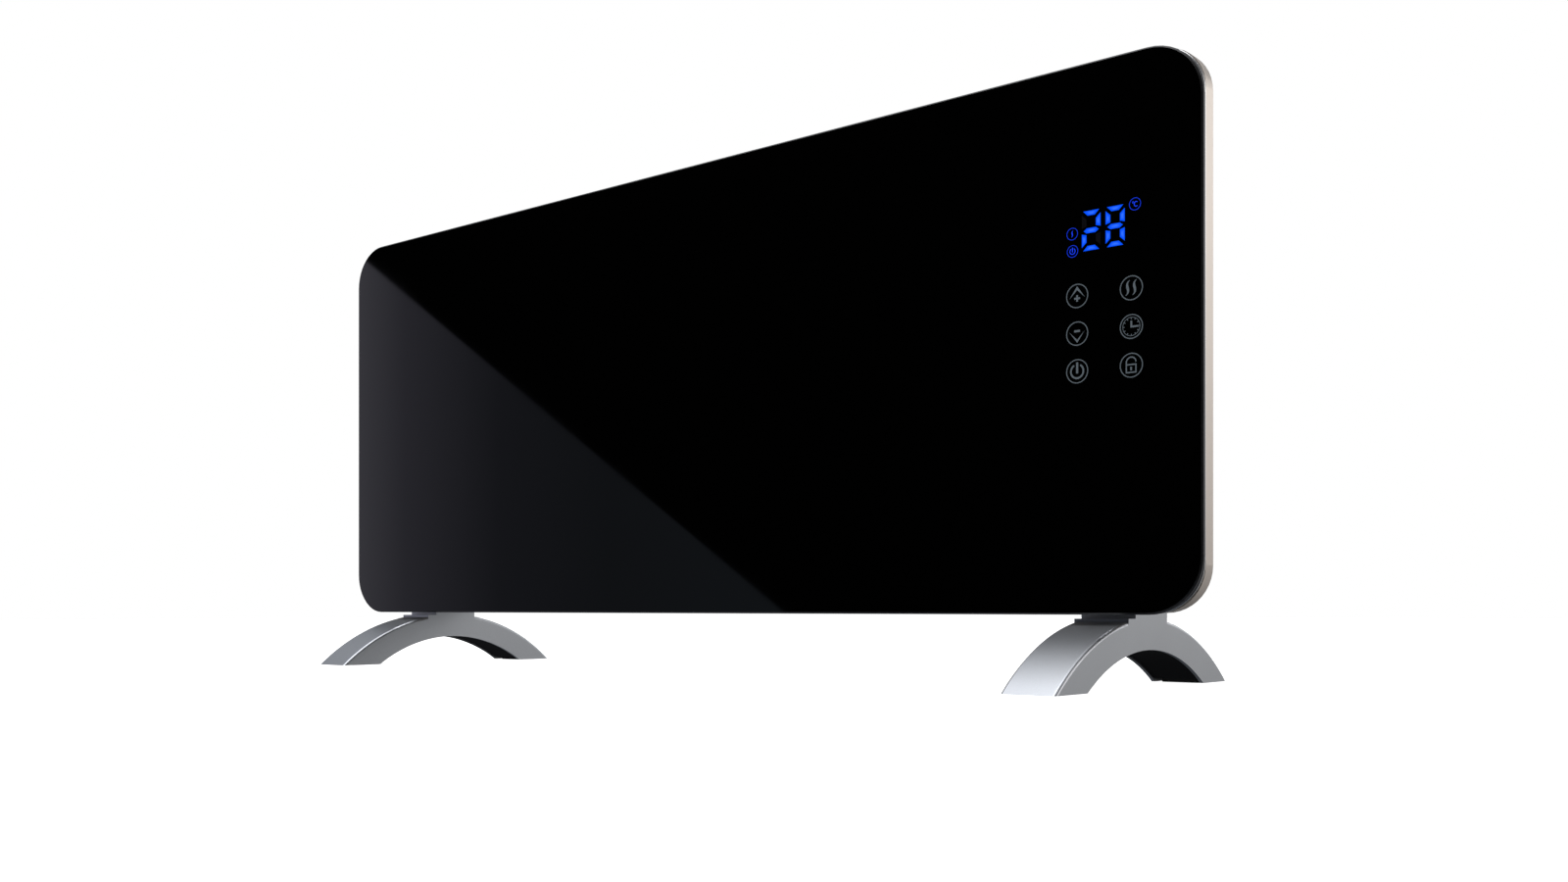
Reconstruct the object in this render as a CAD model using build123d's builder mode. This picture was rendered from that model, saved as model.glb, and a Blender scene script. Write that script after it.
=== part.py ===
from build123d import *
import math
import os

# Glass-panel convector heater, free standing on two arched feet. Millimetres.
# +X runs to the right seen from the front, +Y to the back, +Z up.
# The origin is on the floor, midway between the feet and midway between their toes.

# ---------------------------------------------------------------- driving sizes
# Front panel
panel_width = 880.0
panel_height = 360.0
panel_corner_r = 37.0
floor_gap = 49.0  # floor to the bottom edge of the glass
glass_front_y = -43.5
glass_thickness = 4.0
glass_front_chamfer = 1.2
glass_back_chamfer = 0.4

# Frame behind the glass and the shallow casing tray
tape_thickness = 0.3
tape_width = 9.0
tape_inset = 4.0
carrier_sheet = 1.5
carrier_inset = 0.6
carrier_corner_r = 33.5
carrier_skirt_depth = 9.0
carrier_skirt_wall = 1.0
joint_gap = 1.2
tray_depth = 13.5
tray_sheet = 0.8
tray_inset = 1.2
tray_return = 6.0  # width of the tray's front return flange
tray_back_r = 3.0
tray_corner_r = 30.0  # tighter than the glass, so the corners of the casing show past it
gasket_setback = 0.9
gasket_width = 4.0

# Rear box that holds the heating elements
box_depth = 66.0
box_sheet = 0.8
box_side_inset = 45.0
box_bottom_inset = 12.0
box_top_inset = 16.0
box_corner_r = 14.0
box_back_r = 4.0
box_flange = 7.0
tray_lap = 10.0  # tray wall left inside the box around its opening

# Feet
foot_width = 39.0
foot_end_inset = 75.5  # end of the glass to the middle of a foot
foot_span = 252.0
foot_rise = 46.5  # floor to the top of the outer arc
arch_span = 171.5
arch_rise = 25.5  # floor to the top of the inner arc
foot_wall = 2.5
foot_edge_r = 2.2
toe_lift = 0.3  # shell clear of the floor, which only the rubber pads touch
plateau_front_y = -30.0
plateau_back_y = 27.0
plateau_top_z = 46.3
riser_setback = 3.0  # riser behind the back of the tray
liner_setback = 1.2
liner_wall = 2.0
liner_side_gap = 0.2
pad_length = 24.0
pad_width = 30.0
pad_height = 3.0
pad_toe_setback = 12.0  # foot's toe to the pad's outer edge
pad_corner_r = 4.0
foot_screw_pitch = 26.0

# Fasteners
m5_shank_r = 2.4
m5_bore_r = 2.7
m5_head_r = 4.5
m5_head_height = 4.0
m4_shank_r = 1.9
m4_bore_r = 2.2
m4_head_r = 4.0
m3_shank_r = 1.4
m3_bore_r = 1.6
m3_head_r = 2.75
thin_head_height = 2.0
drive_recess = 1.2

# Heating elements
element_count = 2
element_first_z = 53.0  # above the floor of the box
element_pitch_z = 75.0
fin_thickness = 1.6
fin_clearance = 9.0
hub_r = 7.0
rod_r = 4.0
rod_fit = 0.1
rod_overhang = 30.0
rod_pin_r = 1.5
rod_pin_length = 7.0
bracket_sheet = 1.2
bush_r = 8.0
bush_length = 8.0
bush_flange_r = 10.0
bush_flange = 3.0

# Control unit behind the right end of the glass, and the power compartment behind it
display_from_end = 67.0  # end of the glass to the middle of the digits
control_drop = 150.0  # top of the glass to the middle of the control unit
touch_columns_from_end = (85.65, 47.5)
touch_row_drops = (151.3, 176.0, 200.7)  # top of the glass to each row
digits_drop = 110.0
indicator_spots = ((89.2, 110.3), (89.0, 121.8), (45.1, 98.2))  # from the end and the top of the glass
housing_width = 70.0
housing_height = 136.0
housing_wall = 1.5
board_thickness = 1.6
compartment_width = 110.0

# Rocker switch, with its long side upright in the right wall of the box
rocker_half_length = 10.5
rocker_width = 9.2
rocker_swing = 10.0  # degrees either side of level
rocker_side_gap = 0.2
trunnion_r = 1.5
trunnion_gap = 0.05
switch_height_in_box = 52.0

# Cord gland
gland_bore_r = 3.7
gland_height_in_box = 24.0

# Wall-hanging keyholes
keyhole_pitch = 500.0
keyhole_head_r = 5.25
keyhole_slot_r = 2.75
keyhole_rise = 12.0
keyhole_above_box_floor = 239.0

fit_gap = 0.2  # between pieces that are slipped together

# ------------------------------------------------------------- places that follow
panel_bottom_z = floor_gap
panel_top_z = floor_gap + panel_height
panel_mid_z = floor_gap + panel_height / 2
half_width = panel_width / 2

glass_back_y = glass_front_y + glass_thickness
carrier_front_y = glass_back_y + tape_thickness
carrier_back_y = carrier_front_y + carrier_sheet
tray_front_y = carrier_back_y + joint_gap
tray_back_y = tray_front_y + tray_depth
tray_inner_back_y = tray_back_y - tray_sheet
box_front_y = tray_back_y
box_back_y = box_front_y + box_depth
box_mid_y = (box_front_y + box_back_y) / 2

box_half_width = half_width - box_side_inset
box_bottom_z = panel_bottom_z + box_bottom_inset
box_top_z = panel_top_z - box_top_inset
box_height = box_top_z - box_bottom_z
box_mid_z = (box_bottom_z + box_top_z) / 2
box_floor_z = box_bottom_z + box_sheet

foot_x = half_width - foot_end_inset
riser_front_y = tray_back_y + riser_setback
riser_back_y = plateau_back_y
foot_screw_ys = [
    (riser_front_y + riser_back_y) / 2 + side * foot_screw_pitch / 2 for side in (-1, 1)
]

partition_x = box_half_width - compartment_width
element_y = box_mid_y
element_zs = [box_floor_z + element_first_z + i * element_pitch_z for i in range(element_count)]
shield_sheet = 0.6
shield_back_y = tray_back_y + shield_sheet
cover_inner_back_y = box_back_y - box_sheet
control_x = half_width - display_from_end
control_z = panel_top_z - control_drop
board_back_y = tray_inner_back_y - 9.0
board_front_y = board_back_y - board_thickness


def front_plane(y, x=0.0, z=0.0):
    """Plane at depth y that faces the front: sketch x is +X and sketch y is +Z."""
    return Plane(origin=(x, y, z), x_dir=(1, 0, 0), z_dir=(0, -1, 0))


def side_plane(x, y=0.0, z=0.0):
    """Plane across the object at x that faces right: sketch x is +Y and sketch y is +Z."""
    return Plane(origin=(x, y, z), x_dir=(0, 1, 0), z_dir=(1, 0, 0))


def arc_radius(rise, span):
    """Radius of an arc that rises this much over this span."""
    return (rise**2 + (span / 2) ** 2) / (2 * rise)


def panel_sketch(inset, corner_r, mode=Mode.ADD):
    """Rectangle of the glass moved in by inset all round, with its own corners."""
    with Locations((0, panel_mid_z)):
        RectangleRounded(panel_width - 2 * inset, panel_height - 2 * inset, corner_r, mode=mode)


def glass_sketch(inset, mode=Mode.ADD):
    """Outline of the glass, moved in by inset all round."""
    panel_sketch(inset, panel_corner_r - inset, mode)


def tray_sketch(inset, mode=Mode.ADD):
    """Outline of the casing tray, moved in by inset all round."""
    panel_sketch(tray_inset + inset, tray_corner_r - inset, mode)


def box_sketch(grow, mode=Mode.ADD):
    """Outline of the rear box, moved out by grow all round."""
    with Locations((0, box_mid_z)):
        RectangleRounded(
            2 * (box_half_width + grow), box_height + 2 * grow, box_corner_r + grow, mode=mode
        )


def edges_at_depth(piece, y):
    """Edges of a piece that lie wholly at depth y."""
    return [
        edge
        for edge in piece.edges()
        if abs(edge.bounding_box().min.Y - y) < 1e-3 and abs(edge.bounding_box().max.Y - y) < 1e-3
    ]


def keep(piece, name):
    """Label a finished piece and write it."""
    piece.part.label = name
    export_step(piece.part, f"parts/{name}.step")


def route_radii(points):
    """Largest comfortable bend at each inner corner of a route."""
    radii = []
    for before, corner, after in zip(points, points[1:], points[2:]):
        run_in = Vector(*corner) - Vector(*before)
        run_out = Vector(*after) - Vector(*corner)
        half_turn = math.radians(run_in.get_angle(run_out)) / 2
        radii.append(0.45 * min(run_in.length, run_out.length) / math.tan(half_turn))
    return radii


def lead(points, diameter):
    """One insulated lead: straight runs joined by tangent arcs."""
    with BuildPart() as tube:
        with BuildLine() as route:
            FilletPolyline(*points, radius=route_radii(points))
        with BuildSketch(Plane(origin=route.wire() @ 0, z_dir=route.wire() % 0)):
            Circle(diameter / 2)
        sweep()
    return tube.part


os.makedirs("parts", exist_ok=True)

# ------------------------------------------------------------------- front panel
with BuildPart() as glass_panel:
    with BuildSketch(front_plane(glass_back_y)):
        glass_sketch(0)
    extrude(amount=glass_thickness)
    chamfer(glass_panel.faces().sort_by(Axis.Y)[0].edges(), glass_front_chamfer)
    chamfer(glass_panel.faces().sort_by(Axis.Y)[-1].edges(), glass_back_chamfer)
keep(glass_panel, "glass_panel")

# Foam tape that bonds the glass to the carrier
with BuildPart() as bonding_tape:
    with BuildSketch(front_plane(carrier_front_y)):
        glass_sketch(tape_inset)
        glass_sketch(tape_inset + tape_width, Mode.SUBTRACT)
    extrude(amount=tape_thickness)
keep(bonding_tape, "bonding_tape")

# Pressed steel carrier: plate, skirt that drops into the tray, and six threaded bosses
skirt_inset = tray_return + 1.3  # inside the tray's front opening
boss_r = 4.0
panel_screw_x = (box_half_width + box_flange + half_width - tray_inset) / 2
panel_screw_rise = panel_height / 2 - 60
panel_screw_spots = [
    (side * panel_screw_x, panel_mid_z + row * panel_screw_rise) for side in (-1, 1) for row in (-1, 0, 1)
]
window_width = housing_width - 8
window_height = housing_height - 8
with BuildPart() as glass_carrier:
    with BuildSketch(front_plane(carrier_back_y)):
        panel_sketch(carrier_inset, carrier_corner_r)
        with Locations((control_x, control_z)):
            RectangleRounded(window_width, window_height, 3, mode=Mode.SUBTRACT)
    extrude(amount=carrier_sheet)
    with BuildSketch(front_plane(carrier_back_y)):
        tray_sketch(skirt_inset)
        tray_sketch(skirt_inset + carrier_skirt_wall, Mode.SUBTRACT)
    extrude(amount=-carrier_skirt_depth)
    with BuildSketch(front_plane(carrier_back_y)):
        with Locations(*panel_screw_spots):
            Circle(boss_r)
    extrude(amount=carrier_back_y - tray_inner_back_y + fit_gap)
    with BuildSketch(front_plane(carrier_back_y)):
        with Locations(*panel_screw_spots):
            Circle(m4_shank_r + 0.05)
    extrude(amount=carrier_back_y - tray_inner_back_y, mode=Mode.SUBTRACT)
    lip = glass_carrier.faces().filter_by(Axis.Y).sort_by(Axis.Y)[0].outer_wire().edges()
    fillet(lip, 0.5)
keep(glass_carrier, "glass_carrier")

# Foam gasket in the joint between carrier and tray
with BuildPart() as joint_gasket:
    with BuildSketch(front_plane(tray_front_y)):
        tray_sketch(gasket_setback)
        tray_sketch(gasket_setback + gasket_width, Mode.SUBTRACT)
    extrude(amount=joint_gap)
keep(joint_gasket, "joint_gasket")

# ------------------------------------------------------------------- casing tray
cover_screw_edge = box_flange / 2
cover_screw_spots = [
    (side * (box_half_width + cover_screw_edge), box_mid_z + row * (box_height / 2 - 60))
    for side in (-1, 1)
    for row in (-1, 1)
]
cover_screw_spots += [
    (column * (box_half_width - 95) / 1.5, box_mid_z + side * (box_height / 2 + cover_screw_edge))
    for side in (-1, 1)
    for column in (-1.5, -0.5, 0.5, 1.5)
]
with BuildPart() as casing_tray:
    with BuildSketch(front_plane(tray_back_y)):
        tray_sketch(0)
    extrude(amount=tray_depth)
    with BuildSketch(front_plane(tray_inner_back_y)):
        tray_sketch(tray_sheet)
    extrude(amount=tray_depth - 2 * tray_sheet, mode=Mode.SUBTRACT)
    fillet(edges_at_depth(casing_tray, tray_inner_back_y), tray_back_r - tray_sheet)
    fillet(edges_at_depth(casing_tray, tray_back_y), tray_back_r)
    with BuildSketch(front_plane(tray_front_y)):
        tray_sketch(tray_return)
    extrude(amount=-tray_sheet, mode=Mode.SUBTRACT)
    with BuildSketch(front_plane(tray_back_y)):
        box_sketch(-tray_lap)
        with Locations(*panel_screw_spots):
            Circle(m4_bore_r)
        with Locations(*cover_screw_spots):
            Circle(m3_shank_r + 0.05)
    extrude(amount=tray_sheet, mode=Mode.SUBTRACT)
keep(casing_tray, "casing_tray")


def pan_screws(spots, seat_y, head_r, shank_r, length):
    """Pan-head screws driven from the back, their heads on the face at seat_y."""
    with BuildPart() as screws:
        with BuildSketch(front_plane(seat_y)):
            with Locations(*spots):
                Circle(head_r)
        extrude(amount=-thin_head_height)
        rims = screws.faces().filter_by(Axis.Y).group_by(Axis.Y)[-1].edges()
        fillet(rims, 0.7)
        with BuildSketch(front_plane(seat_y + thin_head_height)):
            with Locations(*spots):
                Rectangle(head_r * 1.1, head_r * 0.26)
                Rectangle(head_r * 0.26, head_r * 1.1)
        extrude(amount=drive_recess, mode=Mode.SUBTRACT)
        with BuildSketch(front_plane(seat_y)):
            with Locations(*spots):
                Circle(shank_r)
        extrude(amount=length)
    return screws


keep(pan_screws(panel_screw_spots, tray_back_y, m4_head_r, m4_shank_r, 9), "panel_screws")
keep(
    pan_screws(cover_screw_spots, box_front_y + box_sheet, m3_head_r, m3_shank_r, 5),
    "cover_screws",
)

# -------------------------------------------------------------------- rear cover
outlet_length = 2 * (box_half_width - 63)
outlet_margin = 9.0  # wall of the box to the opening, front and back
outlet_width = box_depth - 2 * outlet_margin
outlet_rim = 3.0
grille_drop = 5.0  # below the top of the box
outlet_mid_y = box_mid_y + 0.5
grille_pitch = 8.2
grille_rib = 2.4  # between the two rows of slots
grille_slot = outlet_width / 2 - 4
grille_columns = int((outlet_length - 10) // grille_pitch)
intake_pitch = 9.0
intake_margin = 11.0
intake_rib = 4.0
intake_slot = (box_depth - intake_rib) / 2 - intake_margin
intake_span = 2 * (foot_x - foot_width / 2 - 38)
intake_columns = int(intake_span // intake_pitch)
louvre_length = 62.0
louvre_pitch_x = 74.0
louvre_pitch_z = 11.0
louvre_rows = 4
louvre_columns = int((2 * box_half_width - 60) // louvre_pitch_x)
louvre_mid_low_z = box_bottom_z + 44.5
louvre_mid_high_z = box_top_z - 44.5
keyhole_z = box_bottom_z + keyhole_above_box_floor
keyhole_spots = [(side * keyhole_pitch / 2, keyhole_z) for side in (-1, 1)]
switch_z = box_bottom_z + switch_height_in_box
gland_z = box_bottom_z + gland_height_in_box
fitting_y = box_mid_y
switch_body_length = 27.0
switch_body_width = 12.2
switch_body_depth = 20.0
tab_length = 8.0
tab_pitch = 8.4
gland_seat_r = 6.5
gland_hex_r = 9.5
gland_hex = 4.0
gland_thread = 11.0
gland_length = 24.0


def keyhole_sketch():
    """Keyhole outlines: a round hole for a screw head with a narrow slot above it."""
    with Locations(*keyhole_spots):
        Circle(keyhole_head_r)
    with Locations(*[(x, z + keyhole_rise / 2) for x, z in keyhole_spots]):
        Rectangle(2 * keyhole_slot_r, keyhole_rise)
    with Locations(*[(x, z + keyhole_rise) for x, z in keyhole_spots]):
        Circle(keyhole_slot_r)


with BuildPart() as rear_cover:
    with BuildSketch(front_plane(box_back_y)):
        box_sketch(0)
    extrude(amount=box_depth)
    with BuildSketch(front_plane(box_front_y)):
        box_sketch(box_flange)
    extrude(amount=-box_sheet)
    with BuildSketch(front_plane(cover_inner_back_y)):
        box_sketch(-box_sheet)
    extrude(amount=box_depth - box_sheet, mode=Mode.SUBTRACT)
    fillet(edges_at_depth(rear_cover, cover_inner_back_y), box_back_r - box_sheet)
    fillet(edges_at_depth(rear_cover, box_back_y), box_back_r)
    with BuildSketch(front_plane(box_front_y)):
        with Locations(*cover_screw_spots):
            Circle(m3_bore_r)
    extrude(amount=-box_sheet, mode=Mode.SUBTRACT)
    # Outlet in the top and intake slots in the bottom
    with BuildSketch(Plane.XY.offset(box_top_z - box_sheet)):
        with Locations((0, outlet_mid_y)):
            Rectangle(outlet_length, outlet_width)
    extrude(amount=box_sheet, mode=Mode.SUBTRACT)
    with BuildSketch(Plane.XY.offset(box_bottom_z)):
        with Locations((0, box_mid_y)):
            with GridLocations(intake_pitch, intake_slot + intake_rib, intake_columns, 2):
                SlotOverall(intake_slot, 4, rotation=90)
        with Locations(*[(side * foot_x, y) for side in (-1, 1) for y in foot_screw_ys]):
            Circle(m5_bore_r)
    extrude(amount=box_sheet, mode=Mode.SUBTRACT)
    # Louvre slots and keyholes in the back
    with BuildSketch(front_plane(cover_inner_back_y)):
        for z in (louvre_mid_low_z, louvre_mid_high_z):
            with Locations((0, z)):
                with GridLocations(louvre_pitch_x, louvre_pitch_z, louvre_columns, louvre_rows):
                    SlotOverall(louvre_length, 4.2)
        keyhole_sketch()
    extrude(amount=-box_sheet, mode=Mode.SUBTRACT)
    # Openings for the switch and the gland in the right wall
    with BuildSketch(side_plane(box_half_width - box_sheet)):
        with Locations((fitting_y, switch_z)):
            Rectangle(switch_body_width + fit_gap, switch_body_length + fit_gap)
        with Locations((fitting_y, gland_z)):
            Circle(gland_seat_r)
    extrude(amount=box_sheet, mode=Mode.SUBTRACT)
keep(rear_cover, "rear_cover")

# Moulded outlet grille that drops into the top of the rear cover
with BuildPart() as outlet_grille:
    with BuildSketch(Plane.XY.offset(box_top_z)):
        with Locations((0, outlet_mid_y)):
            RectangleRounded(outlet_length + 2 * outlet_rim, outlet_width + 2 * outlet_rim, 4)
    extrude(amount=1.6)
    fillet(outlet_grille.faces().sort_by(Axis.Z)[-1].edges(), 0.7)
    with BuildSketch(Plane.XY.offset(box_top_z)):
        with Locations((0, outlet_mid_y)):
            Rectangle(outlet_length - 2 * fit_gap, outlet_width - 2 * fit_gap)
    extrude(amount=-grille_drop)
    with BuildSketch(Plane.XY.offset(box_top_z - grille_drop)):
        with Locations((0, outlet_mid_y)):
            with GridLocations(grille_pitch, grille_slot + grille_rib, grille_columns, 2):
                SlotOverall(grille_slot, 5.2, rotation=90)
    extrude(amount=2 * grille_drop, mode=Mode.SUBTRACT)
keep(outlet_grille, "outlet_grille")

# Steel plates behind the keyholes
with BuildPart() as hanger_plates:
    with BuildSketch(front_plane(cover_inner_back_y)):
        with Locations(*[(x, z + keyhole_rise / 2) for x, z in keyhole_spots]):
            RectangleRounded(44, 46, 5)
        with BuildSketch(front_plane(cover_inner_back_y), mode=Mode.PRIVATE) as keyholes:
            keyhole_sketch()
        add(keyholes.sketch_local, mode=Mode.SUBTRACT)
    extrude(amount=1.5)
keep(hanger_plates, "hanger_plates")

# ------------------------------------- heat shield and what is riveted to it
element_left_x = -(box_half_width - 65)
element_right_x = partition_x - 60
bracket_xs = (element_left_x - 8, element_right_x + 8)
bracket_low_z = element_zs[0] - 30
bracket_high_z = element_zs[-1] + 30
bracket_mid_z = (bracket_low_z + bracket_high_z) / 2
bracket_height = bracket_high_z - bracket_low_z
bracket_reach = 16.0  # past the middle of the elements
bracket_foot = 14.0
bracket_rivet_edge = 12.0
cutout_x = (element_left_x + element_right_x) / 2
cutout_z = bracket_high_z + 32
cutout_ear = 1.0
cutout_rivet_x = 11.0
bracket_rivet_rise = bracket_height / 2 - bracket_rivet_edge
rivet_spots = [
    (bracket_xs[number] + away * bracket_foot / 2, bracket_mid_z + row * bracket_rivet_rise)
    for number, away in enumerate((-1, 1))
    for row in (-1, 1)
]
rivet_spots += [(cutout_x + side * cutout_rivet_x, cutout_z) for side in (-1, 1)]
ribbon_x = control_x - 4
ribbon_z = control_z - 14
with BuildPart() as heat_shield:
    with BuildSketch(front_plane(shield_back_y)):
        box_sketch(-box_sheet - fit_gap - 0.6)
        with Locations((ribbon_x, ribbon_z)):
            RectangleRounded(30, 20, 4, mode=Mode.SUBTRACT)
        with Locations(*rivet_spots):
            Circle(m3_bore_r, mode=Mode.SUBTRACT)
    extrude(amount=shield_sheet)
keep(heat_shield, "heat_shield")

# Partition between the heated space and the power compartment
partition_sheet = 1.0
power_mid_x = partition_x + partition_sheet + (compartment_width - partition_sheet) / 2 - 1
power_mid_z = box_mid_z
power_width = 92.0
power_height = 136.0
standoff_height = 14.0
power_y = cover_inner_back_y - standoff_height  # back of the board
power_front_y = power_y - board_thickness
hole_pitch_x = power_width - 10
hole_pitch_z = power_height - 10
terminal_depth = 12.0
terminal_mouth_y = power_front_y - terminal_depth
lead_window_y = terminal_mouth_y - 4.6
partition_low_z = box_floor_z + box_back_r
partition_high_z = box_top_z - grille_drop - 2
partition_mid_z = (partition_low_z + partition_high_z) / 2
partition_height = partition_high_z - partition_low_z
lead_window_z = box_floor_z + 110
with BuildPart() as partition_plate:
    with BuildSketch(side_plane(partition_x)):
        with Locations(((shield_back_y + cover_inner_back_y) / 2, partition_mid_z)):
            Rectangle(cover_inner_back_y - shield_back_y - 2 * fit_gap, partition_height)
        with Locations((lead_window_y, lead_window_z)):
            SlotOverall(36, 14, mode=Mode.SUBTRACT)
    extrude(amount=partition_sheet)
    with BuildSketch(side_plane(partition_x)):
        with Locations((shield_back_y + fit_gap + partition_sheet / 2, partition_mid_z)):
            Rectangle(partition_sheet, partition_height - 24)
    extrude(amount=-9)
keep(partition_plate, "partition_plate")

# --------------------------------------------------------------- heating elements
fin_arm = (box_depth / 2 - fin_clearance) / math.cos(math.radians(45))
for number, element_z in enumerate(element_zs, start=1):
    with BuildPart() as element_fins:
        with BuildSketch(side_plane(element_left_x)):
            with Locations((element_y, element_z)):
                Rectangle(2 * fin_arm, fin_thickness, rotation=45)
                Rectangle(2 * fin_arm, fin_thickness, rotation=-45)
                Circle(hub_r)
                Circle(rod_r + rod_fit, mode=Mode.SUBTRACT)
        extrude(amount=element_right_x - element_left_x)
    keep(element_fins, f"element_fins_{number}")

    with BuildPart() as element_rod:
        with BuildSketch(side_plane(element_left_x - rod_overhang)):
            with Locations((element_y, element_z)):
                Circle(rod_r)
        extrude(amount=element_right_x - element_left_x + 2 * rod_overhang)
        with BuildSketch(side_plane(element_left_x - rod_overhang - rod_pin_length)):
            with Locations((element_y, element_z)):
                Circle(rod_pin_r)
        extrude(amount=element_right_x - element_left_x + 2 * (rod_overhang + rod_pin_length))
    keep(element_rod, f"element_rod_{number}")

for side, bracket_x in zip(("left", "right"), bracket_xs):
    with BuildPart() as element_bracket:
        with BuildSketch(side_plane(bracket_x - bracket_sheet / 2)):
            with Locations(((shield_back_y + element_y + bracket_reach) / 2, bracket_mid_z)):
                Rectangle(element_y + bracket_reach - shield_back_y, bracket_height)
            with Locations(*[(element_y, z) for z in element_zs]):
                Circle(bush_r + rod_fit, mode=Mode.SUBTRACT)
        extrude(amount=bracket_sheet)
        away = -1 if side == "left" else 1
        with BuildSketch(front_plane(shield_back_y)):
            with Locations((bracket_x + away * bracket_foot / 2, bracket_mid_z)):
                Rectangle(bracket_foot, bracket_height)
            with Locations(*rivet_spots):
                Circle(m3_bore_r, mode=Mode.SUBTRACT)
        extrude(amount=-bracket_sheet)
    keep(element_bracket, f"element_bracket_{side}")

# Ceramic bushes that carry the rods in the brackets
with BuildPart() as ceramic_bushes:
    for bracket_x in bracket_xs:
        with BuildSketch(side_plane(bracket_x - bush_length / 2)):
            with Locations(*[(element_y, z) for z in element_zs]):
                Circle(bush_r)
                Circle(rod_r + rod_fit, mode=Mode.SUBTRACT)
        extrude(amount=bush_length)
        with BuildSketch(side_plane(bracket_x + bracket_sheet / 2)):
            with Locations(*[(element_y, z) for z in element_zs]):
                Circle(bush_flange_r)
                Circle(rod_r + rod_fit, mode=Mode.SUBTRACT)
        extrude(amount=bush_flange)
keep(ceramic_bushes, "ceramic_bushes")

# Bimetal cut-out on the heat shield above the elements
with BuildPart() as thermal_cutout:
    with BuildSketch(front_plane(shield_back_y)):
        with Locations((cutout_x, cutout_z)):
            SlotOverall(30, 16)
        with Locations(*rivet_spots):
            Circle(m3_bore_r, mode=Mode.SUBTRACT)
    extrude(amount=-cutout_ear)
    with BuildSketch(front_plane(shield_back_y + cutout_ear)):
        with Locations((cutout_x, cutout_z)):
            Circle(7.5)
    extrude(amount=-8)
    with BuildSketch(front_plane(shield_back_y + 9)):
        with Locations((cutout_x - 3.5, cutout_z), (cutout_x + 3.5, cutout_z)):
            Rectangle(0.8, 6.3)
    extrude(amount=-8)
keep(thermal_cutout, "thermal_cutout")

# Blind rivets through the bracket feet and the cut-out's ears into the heat shield
rivet_head = 1.0
with BuildPart() as shield_rivets:
    for spots, sheet in ((rivet_spots[:-2], bracket_sheet), (rivet_spots[-2:], cutout_ear)):
        with BuildSketch(front_plane(shield_back_y + sheet + rivet_head)):
            with Locations(*spots):
                Circle(m3_head_r)
        extrude(amount=rivet_head)
        with BuildSketch(front_plane(shield_back_y + sheet)):
            with Locations(*spots):
                Circle(m3_shank_r)
        extrude(amount=sheet + shield_sheet + rivet_head)
        with BuildSketch(front_plane(shield_back_y - shield_sheet)):
            with Locations(*spots):
                Circle(m3_head_r - 0.4)
        extrude(amount=rivet_head)
keep(shield_rivets, "shield_rivets")

# Thermal fuse in its sleeve, clipped above the upper element
fuse_r = 2.5
fuse_length = 26.0
fuse_x = bracket_xs[1] - 40
fuse_z = bracket_high_z + 10
clip_sheet = 0.6
with BuildPart() as thermal_fuse:
    with BuildSketch(side_plane(fuse_x)):
        with Locations((shield_back_y + fuse_r, fuse_z)):
            Circle(fuse_r)
    extrude(amount=fuse_length)
    fillet(thermal_fuse.faces().filter_by(Axis.X).edges(), 1.0)
keep(thermal_fuse, "thermal_fuse")

with BuildPart() as fuse_clip:
    with BuildSketch(side_plane(fuse_x + fuse_length / 2 - 3)):
        with Locations((shield_back_y + fuse_r, fuse_z)):
            Circle(fuse_r + clip_sheet)
        with Locations((shield_back_y + clip_sheet / 2, fuse_z)):
            Rectangle(clip_sheet, 18)
        with Locations((shield_back_y + fuse_r / 2, fuse_z)):
            Rectangle(fuse_r, 2 * (fuse_r + clip_sheet))
            Rectangle(fuse_r, 2 * fuse_r, mode=Mode.SUBTRACT)
        with Locations((shield_back_y + fuse_r, fuse_z)):
            Circle(fuse_r, mode=Mode.SUBTRACT)
        with Locations((shield_back_y + 20, fuse_z)):
            Rectangle(40, 40, mode=Mode.INTERSECT)
    extrude(amount=6)
keep(fuse_clip, "fuse_clip")

# Air temperature sensor over the intake slots
with BuildPart() as room_sensor:
    with BuildSketch(Plane.XY.offset(box_floor_z)):
        with Locations((partition_x - 14, element_y + 18)):
            RectangleRounded(12, 8, 1.5)
    extrude(amount=2)
    with BuildSketch(Plane.XY.offset(box_floor_z + 2)):
        with Locations((partition_x - 14, element_y + 18)):
            Circle(2.2)
    extrude(amount=9)
    fillet(room_sensor.faces().sort_by(Axis.Z)[-1].edges(), 1.6)
keep(room_sensor, "room_sensor")

# ------------------------------------------------------------------- control unit
housing_front_y = board_front_y - 1.4
with BuildPart() as control_housing:
    with BuildSketch(front_plane(tray_inner_back_y - fit_gap)):
        with Locations((control_x, control_z)):
            RectangleRounded(housing_width, housing_height, 3)
    extrude(amount=tray_inner_back_y - fit_gap - housing_front_y)
    with BuildSketch(front_plane(tray_inner_back_y - fit_gap - housing_wall)):
        with Locations((control_x, control_z)):
            Rectangle(housing_width - 2 * housing_wall, housing_height - 2 * housing_wall)
    extrude(amount=tray_depth, mode=Mode.SUBTRACT)
    with BuildSketch(front_plane(tray_inner_back_y - fit_gap - housing_wall)):
        with Locations((control_x, control_z)):
            with GridLocations(housing_width - 12, housing_height - 12, 2, 2):
                Circle(3)
                Circle(m3_shank_r, mode=Mode.SUBTRACT)
    extrude(amount=tray_inner_back_y - fit_gap - housing_wall - board_back_y)
    with BuildSketch(front_plane(tray_inner_back_y - fit_gap)):
        with Locations((ribbon_x, ribbon_z)):
            Rectangle(20, 9)
    extrude(amount=housing_wall, mode=Mode.SUBTRACT)
keep(control_housing, "control_housing")

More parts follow.
